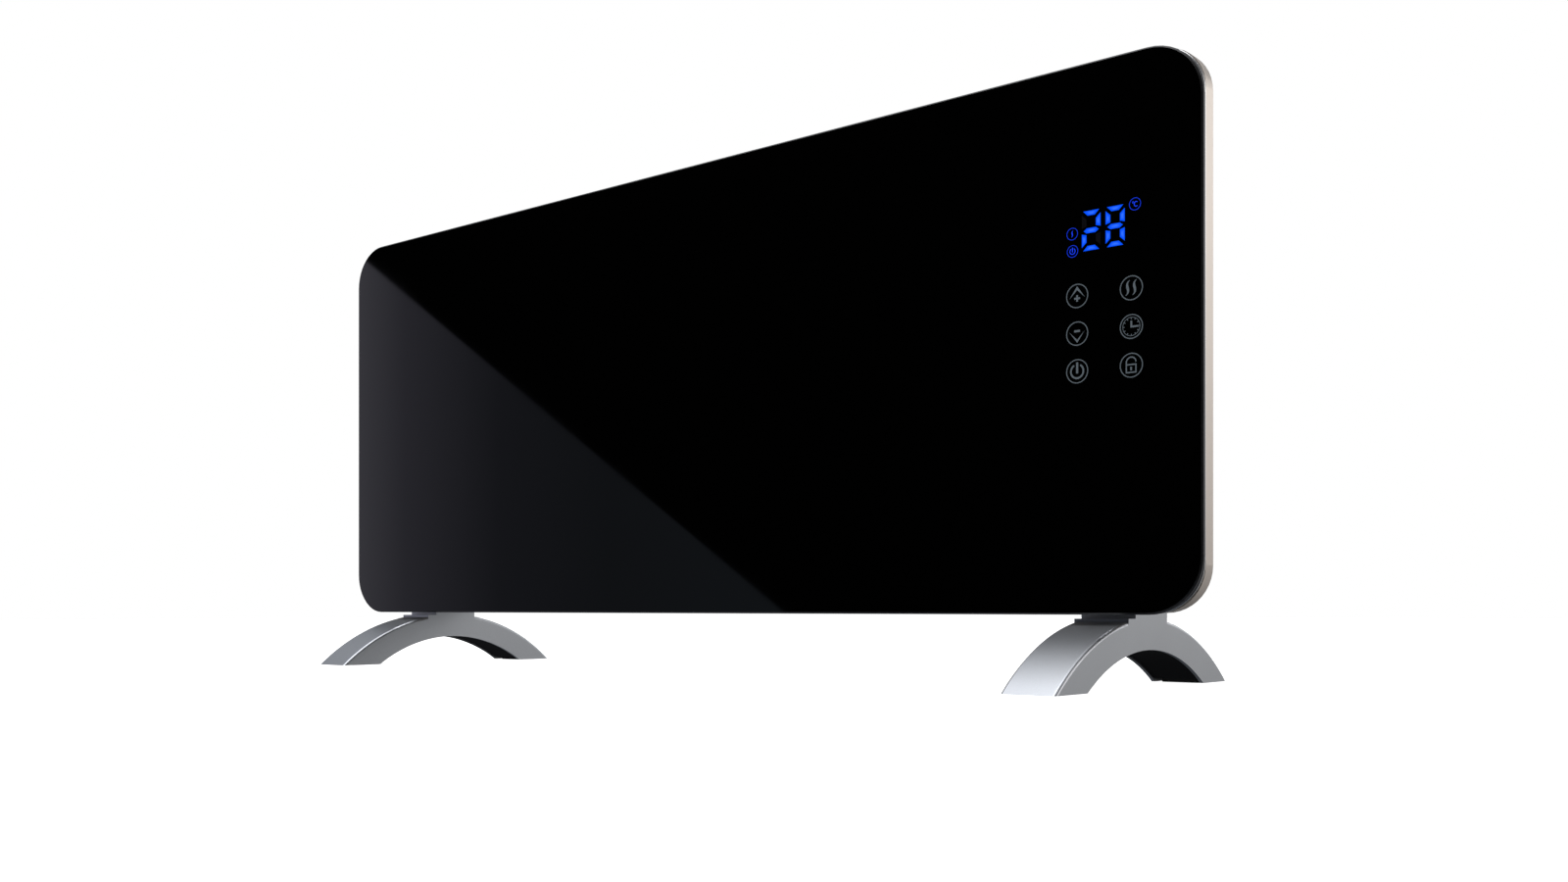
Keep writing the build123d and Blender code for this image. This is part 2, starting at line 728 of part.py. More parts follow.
with BuildPart() as control_board:
    with BuildSketch(front_plane(board_back_y)):
        with Locations((control_x, control_z)):
            Rectangle(housing_width - 2 * housing_wall - 1, housing_height - 2 * housing_wall - 1)
            with GridLocations(housing_width - 12, housing_height - 12, 2, 2):
                Circle(m3_bore_r, mode=Mode.SUBTRACT)
    extrude(amount=board_thickness)
keep(control_board, "control_board")

with BuildPart() as control_screws:
    with BuildSketch(front_plane(board_front_y)):
        with Locations((control_x, control_z)):
            with GridLocations(housing_width - 12, housing_height - 12, 2, 2):
                Circle(m3_head_r)
    extrude(amount=1.8)
    with BuildSketch(front_plane(board_front_y)):
        with Locations((control_x, control_z)):
            with GridLocations(housing_width - 12, housing_height - 12, 2, 2):
                Circle(m3_shank_r - 0.05)
    extrude(amount=-7)
keep(control_screws, "control_screws")

# Two-digit display block, its face just behind the glass
display_gap = 0.1
component_depth = board_front_y - glass_back_y - display_gap
with BuildPart() as display_module:
    with BuildSketch(front_plane(board_front_y)):
        with Locations((control_x, panel_top_z - digits_drop)):
            Rectangle(34, 30)
    extrude(amount=component_depth)
    chamfer(display_module.faces().sort_by(Axis.Y)[0].edges(), 0.4)
keep(display_module, "display_module")

with BuildPart() as indicator_light_guides:
    with BuildSketch(front_plane(board_front_y)):
        with Locations(*[(half_width - end, panel_top_z - drop) for end, drop in indicator_spots]):
            Circle(4.6)
            Circle(2.6, mode=Mode.SUBTRACT)
    extrude(amount=component_depth)
keep(indicator_light_guides, "indicator_light_guides")

# Coiled contact springs between the board and the glass, one under each touch symbol
spring_r = 4.0
spring_wire_r = 0.35
spring_turns = 3
spring_lift = component_depth * 0.1  # clear of the board and of the glass
spring_height = component_depth - 2 * spring_lift
with BuildPart() as touch_spring:
    with BuildLine() as coil:
        Helix(pitch=spring_height / spring_turns, height=spring_height, radius=spring_r)
    with BuildSketch(Plane(origin=coil.wire() @ 0, z_dir=coil.wire() % 0)):
        Circle(spring_wire_r)
    sweep()
with BuildPart() as touch_springs:
    for end in touch_columns_from_end:
        for drop in touch_row_drops:
            spot = front_plane(board_front_y - spring_lift, half_width - end, panel_top_z - drop)
            add(spot.location * touch_spring.part)
keep(touch_springs, "touch_springs")

# -------------------------------------------------------------- power compartment
with BuildPart() as power_board:
    with BuildSketch(front_plane(power_y)):
        with Locations((power_mid_x, power_mid_z)):
            Rectangle(power_width, power_height)
            with GridLocations(hole_pitch_x, hole_pitch_z, 2, 2):
                Circle(m3_bore_r, mode=Mode.SUBTRACT)
    extrude(amount=board_thickness)
keep(power_board, "power_board")

with BuildPart() as board_standoffs:
    with BuildSketch(front_plane(cover_inner_back_y)):
        with Locations((power_mid_x, power_mid_z)):
            with GridLocations(hole_pitch_x, hole_pitch_z, 2, 2):
                RegularPolygon(3.2, 6)
    extrude(amount=cover_inner_back_y - power_y)
    with BuildSketch(front_plane(power_y)):
        with Locations((power_mid_x, power_mid_z)):
            with GridLocations(hole_pitch_x, hole_pitch_z, 2, 2):
                Circle(m3_shank_r)
    extrude(amount=board_thickness + 2)
keep(board_standoffs, "board_standoffs")

with BuildPart() as relays:
    with BuildSketch(front_plane(power_front_y)):
        with Locations((power_mid_x - 22, power_mid_z + 40), (power_mid_x + 22, power_mid_z + 40)):
            Rectangle(19, 28)
    extrude(amount=15.5)
    fillet(relays.edges().filter_by(Axis.Y), 1)
keep(relays, "relays")

with BuildPart() as board_transformer:
    with BuildSketch(front_plane(power_front_y)):
        with Locations((power_mid_x - 20, power_mid_z - 2)):
            Rectangle(30, 26)
    extrude(amount=17)
    chamfer(board_transformer.faces().sort_by(Axis.Y)[0].edges(), 1)
keep(board_transformer, "board_transformer")

with BuildPart() as board_capacitors:
    with BuildSketch(front_plane(power_front_y)):
        with Locations((power_mid_x + 18, power_mid_z - 2), (power_mid_x + 32, power_mid_z - 2)):
            Circle(5)
    extrude(amount=16)
    fillet(board_capacitors.faces().sort_by(Axis.Y)[:2].edges(), 0.8)
keep(board_capacitors, "board_capacitors")

terminal_ways = 5
terminal_pitch = 12.0
terminal_mid_x = power_mid_x - 6
terminal_z = power_mid_z - 52
with BuildPart() as terminal_block:
    with BuildSketch(front_plane(power_front_y)):
        with Locations((terminal_mid_x, terminal_z)):
            Rectangle(terminal_ways * terminal_pitch, 14)
    extrude(amount=terminal_depth)
    with BuildSketch(front_plane(terminal_mouth_y)):
        with Locations((terminal_mid_x, terminal_z)):
            with GridLocations(terminal_pitch, 0, terminal_ways, 1):
                Circle(2.6)
    extrude(amount=-7, mode=Mode.SUBTRACT)
keep(terminal_block, "terminal_block")

# Tilt sensor on the partition: a weighted pendulum that hangs in front of an optical sensor
tilt_x = partition_x + partition_sheet
tilt_width = 26.0
tilt_depth = 44.0
tilt_height = 40.0
tilt_wall = 1.5
tilt_bottom_z = box_floor_z + 8
tilt_pivot_drop = 8.0  # below the top of the housing
tilt_pivot_z = tilt_bottom_z + tilt_height - tilt_pivot_drop
tilt_mid_z = tilt_bottom_z + tilt_height / 2
tilt_boss = 4.0
pendulum_arm = 20.0
pendulum_weight_r = 5.5
pivot_pin_r = 1.0
pivot_gap = 0.05
with BuildPart() as tilt_housing:
    with BuildSketch(side_plane(tilt_x)):
        with Locations((element_y, tilt_mid_z)):
            RectangleRounded(tilt_depth, tilt_height, 2)
    extrude(amount=tilt_width - tilt_wall)
    with BuildSketch(side_plane(tilt_x + tilt_wall)):
        with Locations((element_y, tilt_mid_z)):
            Rectangle(tilt_depth - 2 * tilt_wall, tilt_height - 2 * tilt_wall)
    extrude(amount=tilt_width, mode=Mode.SUBTRACT)
    with BuildSketch(side_plane(tilt_x + tilt_wall)):
        with Locations((element_y, tilt_pivot_z)):
            Circle(3)
            Circle(pivot_pin_r, mode=Mode.SUBTRACT)
    extrude(amount=tilt_boss)
keep(tilt_housing, "tilt_housing")

with BuildPart() as tilt_lid:
    with BuildSketch(side_plane(tilt_x + tilt_width - tilt_wall)):
        with Locations((element_y, tilt_mid_z)):
            RectangleRounded(tilt_depth, tilt_height, 2)
            with Locations((0, tilt_height / 2 - tilt_pivot_drop)):
                Circle(pivot_pin_r, mode=Mode.SUBTRACT)
    extrude(amount=tilt_wall)
keep(tilt_lid, "tilt_lid")

with BuildPart() as tilt_pivot_pin:
    with BuildSketch(side_plane(tilt_x + tilt_wall)):
        with Locations((element_y, tilt_pivot_z)):
            Circle(pivot_pin_r)
    extrude(amount=tilt_width - tilt_wall)
keep(tilt_pivot_pin, "tilt_pivot_pin")

pendulum_x = tilt_x + tilt_wall + tilt_boss + 0.5
pendulum_depth = 7.0
with BuildPart() as tilt_pendulum:
    with BuildSketch(side_plane(pendulum_x)):
        with Locations((element_y, tilt_pivot_z)):
            Circle(3.2)
        with Locations((element_y, tilt_pivot_z - pendulum_arm / 2)):
            Rectangle(4, pendulum_arm)
        with Locations((element_y, tilt_pivot_z)):
            Circle(pivot_pin_r + pivot_gap, mode=Mode.SUBTRACT)
    extrude(amount=2)
    with BuildSketch(side_plane(pendulum_x)):
        with Locations((element_y, tilt_pivot_z - pendulum_arm)):
            Circle(pendulum_weight_r)
    extrude(amount=pendulum_depth)
    fillet(tilt_pendulum.faces().filter_by(Axis.X).sort_by(Axis.X)[-1].edges(), 0.8)
keep(tilt_pendulum, "tilt_pendulum")

optic_x = pendulum_x + pendulum_depth + 0.6
with BuildPart() as tilt_optical_sensor:
    with BuildSketch(side_plane(optic_x)):
        with Locations((element_y, tilt_pivot_z - pendulum_arm)):
            RectangleRounded(12, 10, 1)
    extrude(amount=tilt_x + tilt_width - tilt_wall - optic_x)
keep(tilt_optical_sensor, "tilt_optical_sensor")

# ------------------------------------------------------------------ rocker switch
bezel_thickness = 2.0
switch_face_x = box_half_width + bezel_thickness
rocker_pivot_x = switch_face_x - 6
cavity_length = 2 * rocker_half_length + 3
cavity_depth = 11.0
with BuildPart() as switch_housing:
    with BuildSketch(side_plane(box_half_width)):
        with Locations((fitting_y, switch_z)):
            RectangleRounded(switch_body_width + 2.8, switch_body_length + 4, 1.5)
    extrude(amount=bezel_thickness)
    fillet(switch_housing.faces().sort_by(Axis.X)[-1].edges(), 0.6)
    with BuildSketch(side_plane(box_half_width)):
        with Locations((fitting_y, switch_z)):
            Rectangle(switch_body_width, switch_body_length)
    extrude(amount=-switch_body_depth)
    with BuildSketch(side_plane(switch_face_x)):
        with Locations((fitting_y, switch_z)):
            Rectangle(rocker_width + 2 * rocker_side_gap, cavity_length)
    extrude(amount=-cavity_depth, mode=Mode.SUBTRACT)
    with BuildSketch(front_plane(fitting_y, rocker_pivot_x, switch_z)):
        Circle(trunnion_r + trunnion_gap)
    extrude(amount=switch_body_width / 2 - 0.1, both=True, mode=Mode.SUBTRACT)
keep(switch_housing, "switch_housing")

# The rocker rests in its ON position, its upper end pressed in
with BuildPart() as rocker:
    with BuildSketch(front_plane(fitting_y, rocker_pivot_x, switch_z)):
        with BuildLine():
            Polyline(
                (-1.5, -rocker_half_length),
                (6.5, -rocker_half_length),
                (4.8, 0),
                (6.5, rocker_half_length),
                (-1.5, rocker_half_length),
                (-3.2, 0),
                close=True,
            )
        make_face()
    extrude(amount=rocker_width / 2, both=True)
    fillet(rocker.faces().sort_by(Axis.X)[-2:].edges(), 0.4)
    with BuildSketch(front_plane(fitting_y, rocker_pivot_x, switch_z)):
        Circle(trunnion_r)
    extrude(amount=rocker_width / 2 + 1.2, both=True)
rest_turn = Axis((rocker_pivot_x, fitting_y, switch_z), (0, 1, 0))
rocker.part = rocker.part.rotate(rest_turn, -rocker_swing)
keep(rocker, "rocker")

with BuildPart() as switch_terminals:
    with BuildSketch(side_plane(box_half_width - switch_body_depth)):
        with Locations((fitting_y, switch_z)):
            with GridLocations(0, tab_pitch, 1, 3):
                Rectangle(4.8, 0.8)
    extrude(amount=-tab_length)
keep(switch_terminals, "switch_terminals")

# ---------------------------------------------------------------------- cord gland
with BuildPart() as cord_gland:
    with BuildSketch(side_plane(box_half_width)):
        with Locations((fitting_y, gland_z)):
            RegularPolygon(gland_hex_r, 6)
    extrude(amount=gland_hex)
    with BuildSketch(side_plane(box_half_width + gland_hex)):
        with Locations((fitting_y, gland_z)):
            Circle(8)
    extrude(amount=gland_length - gland_thread - gland_hex, taper=8)
    fillet(cord_gland.faces().sort_by(Axis.X)[-1].edges(), 1)
    with BuildSketch(side_plane(box_half_width)):
        with Locations((fitting_y, gland_z)):
            Circle(gland_seat_r - 0.1)
    extrude(amount=-gland_thread)
    with BuildSketch(side_plane(box_half_width - gland_thread)):
        with Locations((fitting_y, gland_z)):
            Circle(gland_bore_r)
    extrude(amount=gland_length, mode=Mode.SUBTRACT)
keep(cord_gland, "cord_gland")

with BuildPart() as gland_nut:
    with BuildSketch(side_plane(box_half_width - box_sheet)):
        with Locations((fitting_y, gland_z)):
            RegularPolygon(gland_hex_r, 6)
            Circle(gland_seat_r, mode=Mode.SUBTRACT)
    extrude(amount=-gland_hex)
keep(gland_nut, "gland_nut")

# ---------------------------------------------------------------------------- feet
shell_bottom_z = toe_lift
outer_r = arc_radius(foot_rise - shell_bottom_z, foot_span)
outer_centre_z = foot_rise - outer_r
inner_r = arc_radius(arch_rise - shell_bottom_z, arch_span)
inner_centre_z = arch_rise - inner_r
foot_half_span = foot_span / 2
liner_r = inner_r + liner_setback
liner_width = foot_width - 2 * foot_wall - 2 * liner_side_gap
pad_mid_y = foot_half_span - pad_toe_setback - pad_length / 2
floor_bottom_z = pad_height
floor_top_z = pad_height + liner_wall
boss_bottom_z = arch_rise + 8.5
boss_outer_r = 6.0


def foot_shell(middle_x):
    """Hollow arched foot with its stepped top, screw bosses inside."""
    left_x = middle_x - foot_width / 2
    with BuildPart() as shell:
        with BuildSketch(side_plane(left_x)):
            with Locations((0, outer_centre_z)):
                Circle(outer_r)
            with Locations((0, inner_centre_z)):
                Circle(inner_r, mode=Mode.SUBTRACT)
            with Locations((0, (shell_bottom_z + foot_rise) / 2)):
                Rectangle(foot_span + 10, foot_rise - shell_bottom_z + 1e-3, mode=Mode.INTERSECT)
        extrude(amount=foot_width)
        outer_edges = shell.edges().filter_by(GeomType.CIRCLE).filter_by(
            lambda edge: abs(edge.radius - outer_r) < 0.01
        )
        fillet(outer_edges, foot_edge_r)
        with BuildSketch(side_plane(left_x)):
            with Locations(((plateau_front_y + plateau_back_y) / 2, (plateau_top_z + foot_rise - 8) / 2)):
                Rectangle(plateau_back_y - plateau_front_y, plateau_top_z - foot_rise + 8)
            with Locations(((riser_front_y + riser_back_y) / 2, (box_bottom_z + foot_rise - 8) / 2)):
                Rectangle(riser_back_y - riser_front_y, box_bottom_z - foot_rise + 8)
        extrude(amount=foot_width)
        with BuildSketch(side_plane(left_x + foot_wall)):
            with Locations((0, outer_centre_z)):
                Circle(outer_r - foot_wall)
            with Locations(((riser_front_y + riser_back_y) / 2, box_bottom_z / 2)):
                Rectangle(riser_back_y - riser_front_y - 2 * foot_wall, box_bottom_z - 2 * foot_wall)
        extrude(amount=foot_width - 2 * foot_wall, mode=Mode.SUBTRACT)
        boss_spots = [(middle_x, y) for y in foot_screw_ys]
        with BuildSketch(Plane.XY.offset(boss_bottom_z)):
            with Locations(*boss_spots):
                Circle(boss_outer_r)
        extrude(amount=box_bottom_z - boss_bottom_z)
        with BuildSketch(Plane.XY.offset(boss_bottom_z)):
            with Locations(*boss_spots):
                Circle(m5_bore_r)
        extrude(amount=box_bottom_z - boss_bottom_z, mode=Mode.SUBTRACT)
    return shell


def foot_liner(middle_x):
    """Black underside of a foot: a curved plate that ends in a floor over each pad."""
    with BuildPart() as liner:
        with BuildSketch(side_plane(middle_x - liner_width / 2)):
            with Locations((0, inner_centre_z)):
                Circle(liner_r + liner_wall)
            with Locations((0, (floor_bottom_z + floor_top_z) / 2)):
                Rectangle(foot_span, liner_wall)
            with Locations((0, outer_centre_z)):
                Circle(outer_r - foot_wall - liner_side_gap, mode=Mode.INTERSECT)
            with Locations((0, inner_centre_z)):
                Circle(liner_r, mode=Mode.SUBTRACT)
            with Locations((0, (floor_bottom_z + foot_rise) / 2)):
                Rectangle(foot_span, foot_rise - floor_bottom_z, mode=Mode.INTERSECT)
        extrude(amount=liner_width)
        with BuildSketch(Plane.XY.offset(arch_rise - 4)):
            with Locations(*[(middle_x, y) for y in foot_screw_ys]):
                Circle(m5_head_r + 1)
        extrude(amount=12, mode=Mode.SUBTRACT)
    return liner


foot_middles = (-foot_x, foot_x)
for side, middle_x in zip(("left", "right"), foot_middles):
    keep(foot_shell(middle_x), f"foot_shell_{side}")
    keep(foot_liner(middle_x), f"foot_liner_{side}")

# Rubber pads, two under each foot
with BuildPart() as foot_pads:
    with BuildSketch(Plane.XY):
        with Locations(*[(x, side * pad_mid_y) for x in foot_middles for side in (-1, 1)]):
            RectangleRounded(pad_width, pad_length, pad_corner_r)
    extrude(amount=pad_height)
    chamfer(foot_pads.faces().filter_by(Axis.Z).group_by(Axis.Z)[0].edges(), 0.5)
keep(foot_pads, "foot_pads")

# M5 screws, two up through each foot, into weld nuts on a plate in the box
foot_screw_spots = [(x, y) for x in foot_middles for y in foot_screw_ys]
nut_plate_thickness = 2.0
nut_plate_width = 2 * (box_half_width - box_corner_r - foot_x - 0.5)  # short of the box's corner
weld_nut_height = 4.0
with BuildPart() as foot_screws:
    with BuildSketch(Plane.XY.offset(boss_bottom_z - m5_head_height)):
        with Locations(*foot_screw_spots):
            Circle(m5_head_r)
    extrude(amount=m5_head_height)
    with BuildSketch(Plane.XY.offset(boss_bottom_z)):
        with Locations(*foot_screw_spots):
            Circle(m5_shank_r)
    extrude(amount=box_floor_z + nut_plate_thickness + weld_nut_height + 2 - boss_bottom_z)
    with BuildSketch(Plane.XY.offset(boss_bottom_z - m5_head_height)):
        with Locations(*foot_screw_spots):
            RegularPolygon(2.2, 6)
    extrude(amount=2.5, mode=Mode.SUBTRACT)
keep(foot_screws, "foot_screws")

with BuildPart() as foot_nut_plates:
    with BuildSketch(Plane.XY.offset(box_floor_z)):
        with Locations(*[(x, (riser_front_y + riser_back_y) / 2) for x in foot_middles]):
            RectangleRounded(nut_plate_width, foot_screw_pitch + 18, 4)
    extrude(amount=nut_plate_thickness)
    with BuildSketch(Plane.XY.offset(box_floor_z + nut_plate_thickness)):
        with Locations(*foot_screw_spots):
            RegularPolygon(5, 6)
    extrude(amount=weld_nut_height)
    with BuildSketch(Plane.XY.offset(box_floor_z)):
        with Locations(*foot_screw_spots):
            Circle(m5_shank_r + 0.1)
    extrude(amount=nut_plate_thickness + weld_nut_height, mode=Mode.SUBTRACT)
keep(foot_nut_plates, "foot_nut_plates")

# --------------------------------------------------------------------------- wiring
switch_back_x = box_half_width - switch_body_depth - tab_length
terminal_bottom_y = terminal_mouth_y + 5
lead_diameter = 2.6


def terminal_x(place):
    """Middle of one way of the terminal block, counted from its centre."""
    return terminal_mid_x + terminal_pitch * place


mains_routes = [
    (
        (switch_back_x, fitting_y, tab_z),
        (switch_back_x - 7, fitting_y, tab_z),
        (terminal_x(place), terminal_mouth_y - 10 - 4 * (2 - place), terminal_z - 14),
        (terminal_x(place), terminal_mouth_y - 9, terminal_z),
        (terminal_x(place), terminal_bottom_y, terminal_z),
    )
    for tab_z, place in ((switch_z + tab_pitch, 2), (switch_z, 1))
]
with BuildPart() as switch_leads:
    for points in mains_routes:
        add(lead(points, lead_diameter))
keep(switch_leads, "switch_leads")

rod_end_x = element_right_x + rod_overhang + rod_pin_length
element_routes = [
    (
        (rod_end_x, element_y, element_z),
        (rod_end_x + 9, element_y, element_z),
        (partition_x - 9, lead_window_y + drift, lead_window_z),
        (partition_x + 10, lead_window_y + drift, lead_window_z),
        (terminal_x(place), terminal_mouth_y - reach, terminal_z),
        (terminal_x(place), terminal_bottom_y, terminal_z),
    )
    for element_z, drift, place, reach in ((element_zs[0], -5, -1, 14), (element_zs[-1], 5, -2, 5))
]
with BuildPart() as element_leads:
    for points in element_routes:
        add(lead(points, lead_diameter))
keep(element_leads, "element_leads")

# Protective earth from the terminal block to a stud on the rear cover
stud_x = partition_x + 46
stud_z = power_mid_z - power_height / 2 - 45  # below the power board
stud_nut = 3.2
earth_lead_y = cover_inner_back_y - stud_nut - 2.2
with BuildPart() as earth_stud:
    with BuildSketch(front_plane(cover_inner_back_y)):
        with Locations((stud_x, stud_z)):
            Circle(2)
    extrude(amount=12)
    with BuildSketch(front_plane(cover_inner_back_y)):
        with Locations((stud_x, stud_z)):
            RegularPolygon(4, 6)
    extrude(amount=stud_nut)
keep(earth_stud, "earth_stud")

with BuildPart() as earth_lead:
    with BuildSketch(front_plane(cover_inner_back_y - stud_nut)):
        with Locations((stud_x, stud_z)):
            Circle(4.2)
            Circle(2.1, mode=Mode.SUBTRACT)
    extrude(amount=1)
    earth_points = (
        (stud_x, earth_lead_y, stud_z + 3.3),
        (stud_x, earth_lead_y, stud_z + 14),
        (terminal_x(0), terminal_mouth_y - 9, terminal_z - 12),
        (terminal_x(0), terminal_mouth_y - 7, terminal_z),
        (terminal_x(0), terminal_bottom_y, terminal_z),
    )
    add(lead(earth_points, lead_diameter))
keep(earth_lead, "earth_lead")

# Flat cable from the control board to the power board
with BuildPart() as ribbon_cable:
    with BuildLine() as ribbon_route:
        ribbon_points = (
            (ribbon_x, board_back_y, ribbon_z),
            (ribbon_x, shield_back_y + 8, ribbon_z),
            (ribbon_x - 14, power_front_y - 22, ribbon_z),
            (ribbon_x - 14, power_front_y, ribbon_z),
        )
        FilletPolyline(*ribbon_points, radius=route_radii(ribbon_points))
    with BuildSketch(Plane(origin=ribbon_route.wire() @ 0, x_dir=(0, 0, 1), z_dir=(0, 1, 0))):
        Rectangle(1.2, 10)
    sweep()
keep(ribbon_cable, "ribbon_cable")
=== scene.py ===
"""Visual model of a glass-panel convector heater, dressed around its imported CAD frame.

The heater stands on two arched feet. Its black glass front carries printed touch symbols and a lit
two-digit display. Distances are in metres in the frame of the CAD model unless a name says mm.
"""

import logging
import math
from collections.abc import Sequence
from dataclasses import dataclass, field
from enum import Enum

import bmesh
import bpy
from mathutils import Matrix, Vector
from mathutils.bvhtree import BVHTree


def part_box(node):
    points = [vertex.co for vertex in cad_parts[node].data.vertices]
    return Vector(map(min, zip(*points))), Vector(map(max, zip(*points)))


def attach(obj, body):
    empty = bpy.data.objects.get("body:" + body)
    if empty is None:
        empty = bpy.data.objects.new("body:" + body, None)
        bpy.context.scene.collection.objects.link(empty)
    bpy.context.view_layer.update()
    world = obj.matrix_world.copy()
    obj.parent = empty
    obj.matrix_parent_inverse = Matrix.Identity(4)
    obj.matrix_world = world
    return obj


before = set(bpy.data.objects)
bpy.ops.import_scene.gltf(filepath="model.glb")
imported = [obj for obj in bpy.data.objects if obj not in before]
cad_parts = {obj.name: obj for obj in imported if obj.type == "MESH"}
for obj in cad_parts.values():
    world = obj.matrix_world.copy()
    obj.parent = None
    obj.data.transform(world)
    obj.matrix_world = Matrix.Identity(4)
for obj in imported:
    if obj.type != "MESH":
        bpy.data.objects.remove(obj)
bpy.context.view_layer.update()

LOG = logging.getLogger("heater")
MM = 0.001
BODY = "heater"

Point2 = tuple[float, float]
Outline = list[Point2]


# ------------------------------------------------------------------------------ helpers
def hex_to_linear(colour: str, alpha: float = 1.0) -> tuple[float, float, float, float]:
    """Turns an sRGB hex colour into linear values.

    Args:
        colour: six hex digits with a leading #.
        alpha: opacity to add.

    Returns:
        Red, green, blue and alpha, all linear.
    """
    parts = [int(colour[i : i + 2], 16) / 255 for i in (1, 3, 5)]
    linear = [c / 12.92 if c <= 0.04045 else ((c + 0.055) / 1.055) ** 2.4 for c in parts]
    return (linear[0], linear[1], linear[2], alpha)


def add_node(
    tree: bpy.types.NodeTree,
    kind: str,
    settings: dict[str, object] | None = None,
    inputs: dict[int | str, object] | None = None,
) -> bpy.types.Node:
    """Adds one node to a tree, with its settings, socket values and incoming links.

    Args:
        tree: the node tree.
        kind: Blender's name for the node type.
        settings: attributes to set on the node.
        inputs: a value, or the output socket to link from, for each input socket.

    Returns:
        The new node.
    """
    node = tree.nodes.new(kind)
    for name, value in (settings or {}).items():
        setattr(node, name, value)
    for socket, value in (inputs or {}).items():
        if isinstance(value, bpy.types.NodeSocket):
            tree.links.new(value, node.inputs[socket])
        else:
            node.inputs[socket].default_value = value
    return node


def set_ramp(node: bpy.types.Node, stops: Sequence[tuple[float, tuple[float, ...]]]) -> None:
    """Fills a colour ramp.

    Args:
        node: a colour ramp node.
        stops: a position and a linear colour for each stop, in order.
    """
    elements = node.color_ramp.elements
    while len(elements) < len(stops):
        elements.new(1.0)
    for element, (place, colour) in zip(elements, stops):
        element.position = place
        element.color = colour


# ----------------------------------------------------------------------------- finishes
class Grain(Enum):
    """How a surface was made, as the stretch of its pattern along X, Y and Z."""

    EVEN = (1.0, 1.0, 1.0)
    BRUSHED_ACROSS = (0.03, 1.0, 1.0)
    DRAWN_LONG = (0.02, 1.0, 1.0)


@dataclass(frozen=True)
class Finish:
    """One opaque finish: a base colour, a gloss and a fine surface pattern.

    The pattern varies colour and roughness a little and raises a slight relief.
    """

    name: str
    colour: str
    roughness: float
    metallic: float = 0.0
    grain: Grain = Grain.EVEN
    grain_mm: float = 1.2
    relief_mm: float = 0.01
    tone: float = 0.06
    gloss_spread: float = 0.04
    cloud_mm: float = 60.0
    cloud: float = 0.03
    coat: float = 0.0
    specular: float = 0.5

    def material(self) -> bpy.types.Material:
        """Returns the Blender material of this finish, made on first use."""
        found = bpy.data.materials.get(self.name)
        return found or self._build()

    def _build(self) -> bpy.types.Material:
        """Builds the node tree: fine grain over broad clouding, into one shader."""
        material = bpy.data.materials.new(self.name)
        material.use_nodes = True
        tree = material.node_tree
        shader = tree.nodes["Principled BSDF"]
        shader.inputs["Metallic"].default_value = self.metallic
        shader.inputs["Specular IOR Level"].default_value = self.specular
        shader.inputs["Coat Weight"].default_value = self.coat
        shader.inputs["Coat Roughness"].default_value = 0.08
        place = add_node(tree, "ShaderNodeTexCoord").outputs["Object"]
        stretch = add_node(
            tree, "ShaderNodeMapping", inputs={"Vector": place, "Scale": self.grain.value}
        )
        grain = add_node(
            tree,
            "ShaderNodeTexNoise",
            inputs={
                "Vector": stretch.outputs[0],
                "Scale": 1 / (self.grain_mm * MM),
                "Detail": 3.0,
                "Roughness": 0.6,
            },
        )
        cloud = add_node(
            tree,
            "ShaderNodeTexNoise",
            inputs={"Vector": place, "Scale": 1 / (self.cloud_mm * MM), "Detail": 2.0},
        )
        base = hex_to_linear(self.colour)
        fine = self._varied(tree, grain.outputs["Fac"], base, self.tone)
        broad = add_node(
            tree,
            "ShaderNodeMapRange",
            inputs={0: cloud.outputs["Fac"], 1: 0.3, 2: 0.7, 3: 1 - self.cloud, 4: 1 + self.cloud},
        )
        colour = add_node(
            tree, "ShaderNodeVectorMath", {"operation": "SCALE"}, {0: fine, "Scale": broad.outputs[0]}
        )
        tree.links.new(colour.outputs[0], shader.inputs["Base Color"])
        gloss = add_node(
            tree,
            "ShaderNodeMapRange",
            inputs={
                0: grain.outputs["Fac"],
                1: 0.3,
                2: 0.7,
                3: max(0.02, self.roughness - self.gloss_spread),
                4: min(1.0, self.roughness + self.gloss_spread),
            },
        )
        tree.links.new(gloss.outputs[0], shader.inputs["Roughness"])
        bump = add_node(
            tree,
            "ShaderNodeBump",
            inputs={"Height": grain.outputs["Fac"], "Distance": self.relief_mm * MM, "Strength": 1.0},
        )
        tree.links.new(bump.outputs[0], shader.inputs["Normal"])
        return material

    @staticmethod
    def _varied(
        tree: bpy.types.NodeTree, fac: bpy.types.NodeSocket, base: Sequence[float], spread: float
    ) -> bpy.types.NodeSocket:
        """Ramps from a darker to a lighter shade of a colour and returns the colour socket."""
        ramp = add_node(tree, "ShaderNodeValToRGB", inputs={0: fac})
        low = tuple(c * (1 - spread) for c in base[:3]) + (1.0,)
        high = tuple(min(1.0, c * (1 + spread)) for c in base[:3]) + (1.0,)
        set_ramp(ramp, [(0.3, low), (0.7, high)])
        return ramp.outputs[0]


